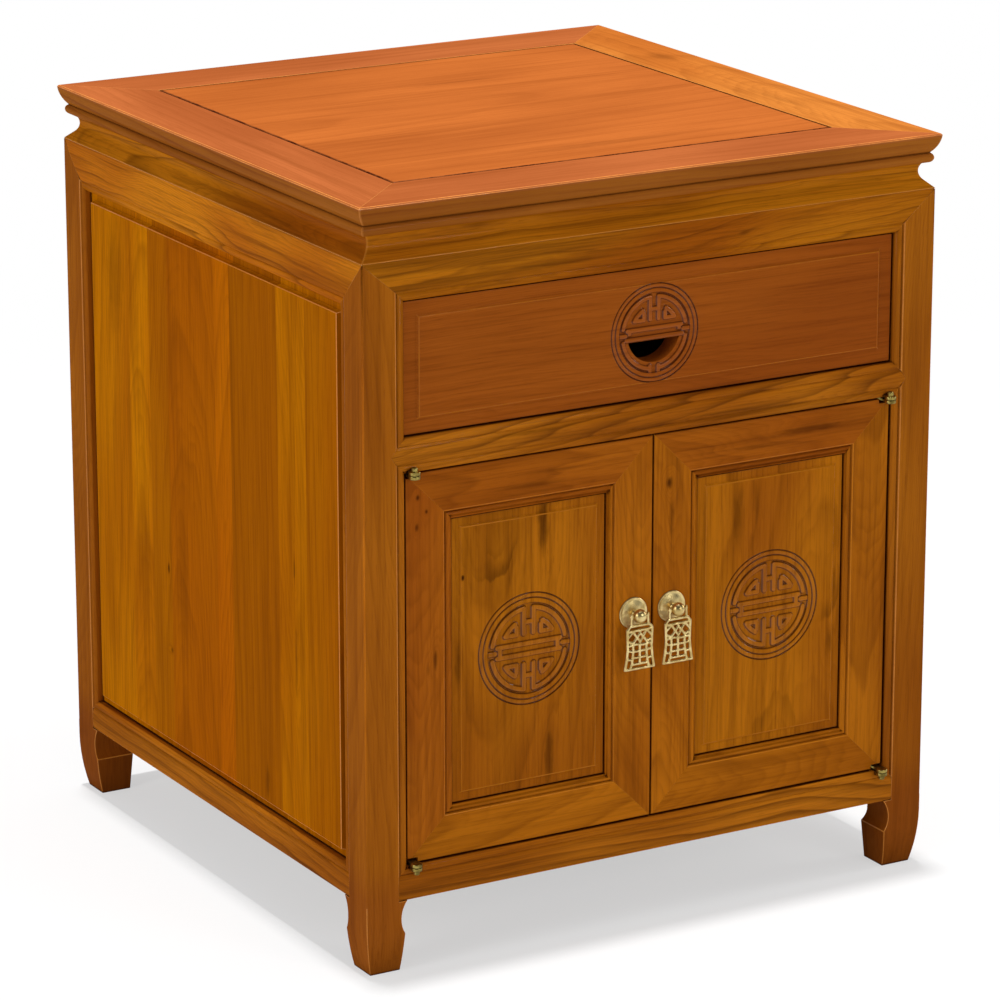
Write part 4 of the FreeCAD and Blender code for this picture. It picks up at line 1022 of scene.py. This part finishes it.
pendantForm = {
    "barRadius": 1.22,
    "rimRadius": 1.3,
    "armRadius": 1.15,
    "pinRadius": 1.05,
    "pinHalf": 8.6,
    "eyeAt": 7.9,          # the ends of the arms are bent round into eyes
    "eyeDepth": 0.9,
    "eyeHeight": 1.9,
    "eyeRadius": 1.0,
    "eyeSteps": 8,
    "rodSides": 12,
    "grain": 0.34,         # of the melting that joins the rods into one casting
    "softness": 0.5,
    "softSteps": 3,
    "half": 1.19,          # half the thickness of the finished casting
}


def turnedPiece(name, outline, side):
    work = bmesh.new()
    x, _, z = pull["axis"]

    def spot(across, up, out):
        return side * x + across, pull["doorFace"] - out, z + up

    rings = addTurning(work, outline, pull["turnedSides"], spot)
    for ring in (rings[0], rings[-1]):
        if len(ring) > 1:
            work.faces.new(ring)
    bmesh.ops.recalc_face_normals(work, faces=work.faces)
    return meshOf(work, name)


def addRod(work, start, end, radius):  # a rod with round ends, in mm
    way = Vector((end[0] - start[0], 0, end[1] - start[1]))
    for spot in (start, end):
        ball = bmesh.ops.create_icosphere(work, subdivisions=2, radius=radius)
        bmesh.ops.translate(work, verts=ball["verts"], vec=(spot[0], 0, spot[1]))
    rod = bmesh.ops.create_cone(work, segments=pendantForm["rodSides"], radius1=radius, radius2=radius,
                                depth=way.length, cap_ends=True)
    bmesh.ops.rotate(work, verts=rod["verts"], matrix=way.to_track_quat("Z", "Y").to_matrix())
    middle = ((start[0] + end[0]) / 2, 0, (start[1] + end[1]) / 2)
    bmesh.ops.translate(work, verts=rod["verts"], vec=middle)


def addEye(work, at):
    form = pendantForm
    step = 2 * pi / form["eyeSteps"]
    for turn in range(form["eyeSteps"]):
        ring = [(at, form["eyeDepth"] * cos(angle), form["eyeHeight"] * sin(angle))
                for angle in (step * turn, step * (turn + 1))]
        middle = Vector(ring[0]).lerp(Vector(ring[1]), 0.5)
        ball = bmesh.ops.create_icosphere(work, subdivisions=2, radius=form["eyeRadius"])
        bmesh.ops.translate(work, verts=ball["verts"], vec=middle)


def pendantMesh(name, side):
    work = bmesh.new()
    form = pendantForm
    paths = [(pendantRim, form["rimRadius"])] + [(bar, form["barRadius"]) for bar in pendantBars]
    paths += [([(way * x, z) for x, z in pendantArm], form["armRadius"]) for way in (1, -1)]
    for path, radius in paths:
        for start, end in zip(path, path[1:]):
            addRod(work, start, end, radius)
    for way in (1, -1):
        addEye(work, way * form["eyeAt"])
    addRod(work, (-form["pinHalf"], 0.0), (form["pinHalf"], 0.0), form["pinRadius"])
    for vert in work.verts:
        vert.co *= mm
    piece = bpy.data.objects.new(name, meshOf(work, name))
    bpy.context.scene.collection.objects.link(piece)
    melt = piece.modifiers.new("melt", "REMESH")
    melt.mode = "VOXEL"
    melt.voxel_size = form["grain"] * mm
    soften = piece.modifiers.new("soften", "SMOOTH")
    soften.factor = form["softness"]
    soften.iterations = form["softSteps"]
    applyModifiers(piece)
    mesh = piece.data
    bpy.data.objects.remove(piece)
    x, y, z = pull["axis"]
    for vert in mesh.vertices:
        flat = max(-form["half"] * mm, min(form["half"] * mm, vert.co.y))
        vert.co = (vert.co.x + side * x, flat + y, vert.co.z + z)
    mesh.shade_smooth()
    return mesh


for hand, side in (("left", -1), ("right", 1)):
    start = hand + "_pull_"
    pieces = {
        "rosette": turnedPiece(start + "rosette_cast", rosetteOutline, side),
        "knob": turnedPiece(start + "knob_turned", ballOutline, side),
        "pendant": pendantMesh(start + "pendant_cast", side),
    }
    for part, mesh in pieces.items():
        piece = addPiece(mesh.name, mesh, brass, nodeBody[start + part])
        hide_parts(start + part)
print("pulls made")


# Studio

studio = {
    "floorHalf": 40.0,
    "nearFloor": 0.47,
    "shownFloor": 0.30,
    "lift": 0.55,
    "glossShare": 0.45,
    "fadeStart": 0.9,
    "fadeEnd": 2.2,
    "air": 0.32,      # the world, as it lights matt surfaces
    "dimAir": 0.06,   # the world, as gloss shows it
}

lamps = {
    "overheadBox": {"at": (0.1, 0.1, 2.8), "to": (0, 0, 0.5), "size": (2.0, 2.0), "power": 12.0},
    "leftBox": {"at": (-2.8, -0.7, 1.4), "to": (0, 0, 0.3), "size": (0.7, 1.6), "power": 22.5},
    "frontBox": {"at": (1.0, -3.0, 1.5), "to": (0, 0, 0.3), "size": (0.8, 0.8), "power": 16.5},
    "rightBox": {"at": (2.9, -0.6, 1.3), "to": (0, 0, 0.3), "size": (0.5, 1.0), "power": 18.0},
}

skylight = {"from": (0.0, 0.04, 1.0), "strength": 3.2, "angle": 3.0}


def addLamp(name, spec):
    data = bpy.data.lights.new(name, "AREA")
    data.shape = "RECTANGLE"
    data.size, data.size_y = spec["size"]
    data.energy = spec["power"]
    lamp = bpy.data.objects.new(name, data)
    lamp.location = spec["at"]
    lamp.rotation_euler = (Vector(spec["at"]) - Vector(spec["to"])).to_track_quat("Z", "Y").to_euler()
    bpy.context.scene.collection.objects.link(lamp)


def floorFinish():
    finish = newFinish("studioFloor")
    place = finish.add("TexCoord", {}, {}, 3)
    distance = finish.add("VectorMath", {"operation": "LENGTH"}, {0: place}, 1)
    seen = finish.add("LightPath", {}, {}, (0, 3, 6))  # camera, glossy and transmission rays
    anySeen = seen[0] + seen[1] * studio["glossShare"] + seen[2]
    anySeen = finish.add("Math", {"operation": "MINIMUM"}, {0: anySeen, 1: 1.0})
    far = finish.band(distance, studio["fadeStart"], studio["fadeEnd"])
    matte = finish.add("BsdfDiffuse", {}, {0: grey(studio["nearFloor"])})
    lift = finish.add("Emission", {}, {0: grey(1.0), 1: studio["lift"]})
    white = finish.add("Emission", {}, {0: grey(1.0), 1: 1.0})
    shown = finish.add("BsdfDiffuse", {}, {0: grey(studio["shownFloor"])})
    lifted = finish.add("AddShader", {}, {0: shown, 1: lift})
    near = finish.add("MixShader", {}, {0: anySeen, 1: matte, 2: lifted})
    total = finish.add("MixShader", {}, {0: far * anySeen, 1: near, 2: white})
    finish.feed(finish.tree.nodes["Material Output"].inputs["Surface"], total)
    finish.tree.nodes.remove(finish.shader)
    return finish.material


def addFloor():
    half = studio["floorHalf"]
    mesh = bpy.data.meshes.new("studioFloor")
    corners = [(-half, -half, 0), (half, -half, 0), (half, half, 0), (-half, half, 0)]
    mesh.from_pydata(corners, [], [(0, 1, 2, 3)])
    mesh.materials.append(floorFinish())
    floorPiece = bpy.data.objects.new("studioFloor", mesh)
    bpy.context.scene.collection.objects.link(floorPiece)


def addSkylight():
    sun = bpy.data.lights.new("skylight", "SUN")
    sun.energy, sun.angle = skylight["strength"], radians(skylight["angle"])
    lamp = bpy.data.objects.new("skylight", sun)
    lamp.rotation_euler = Vector(skylight["from"]).to_track_quat("Z", "Y").to_euler()
    bpy.context.scene.collection.objects.link(lamp)


def addAir():  # white to the camera, soft light to matt surfaces and dim in the gloss
    world = bpy.data.worlds.new("studioWorld")
    world.use_nodes = True
    bpy.context.scene.world = world
    air = Finish(world.node_tree)
    seen, scattered = air.add("LightPath", {}, {}, (0, 2))
    dim = air.mix(scattered, grey(studio["dimAir"]), grey(studio["air"]))
    air.feed(world.node_tree.nodes["Background"].inputs["Color"], air.mix(seen, dim, grey(1.0)))


addFloor()
for name, spec in lamps.items():
    addLamp(name, spec)
addSkylight()
addAir()
bpy.context.scene.view_settings.view_transform = "Standard"
print("studio built")
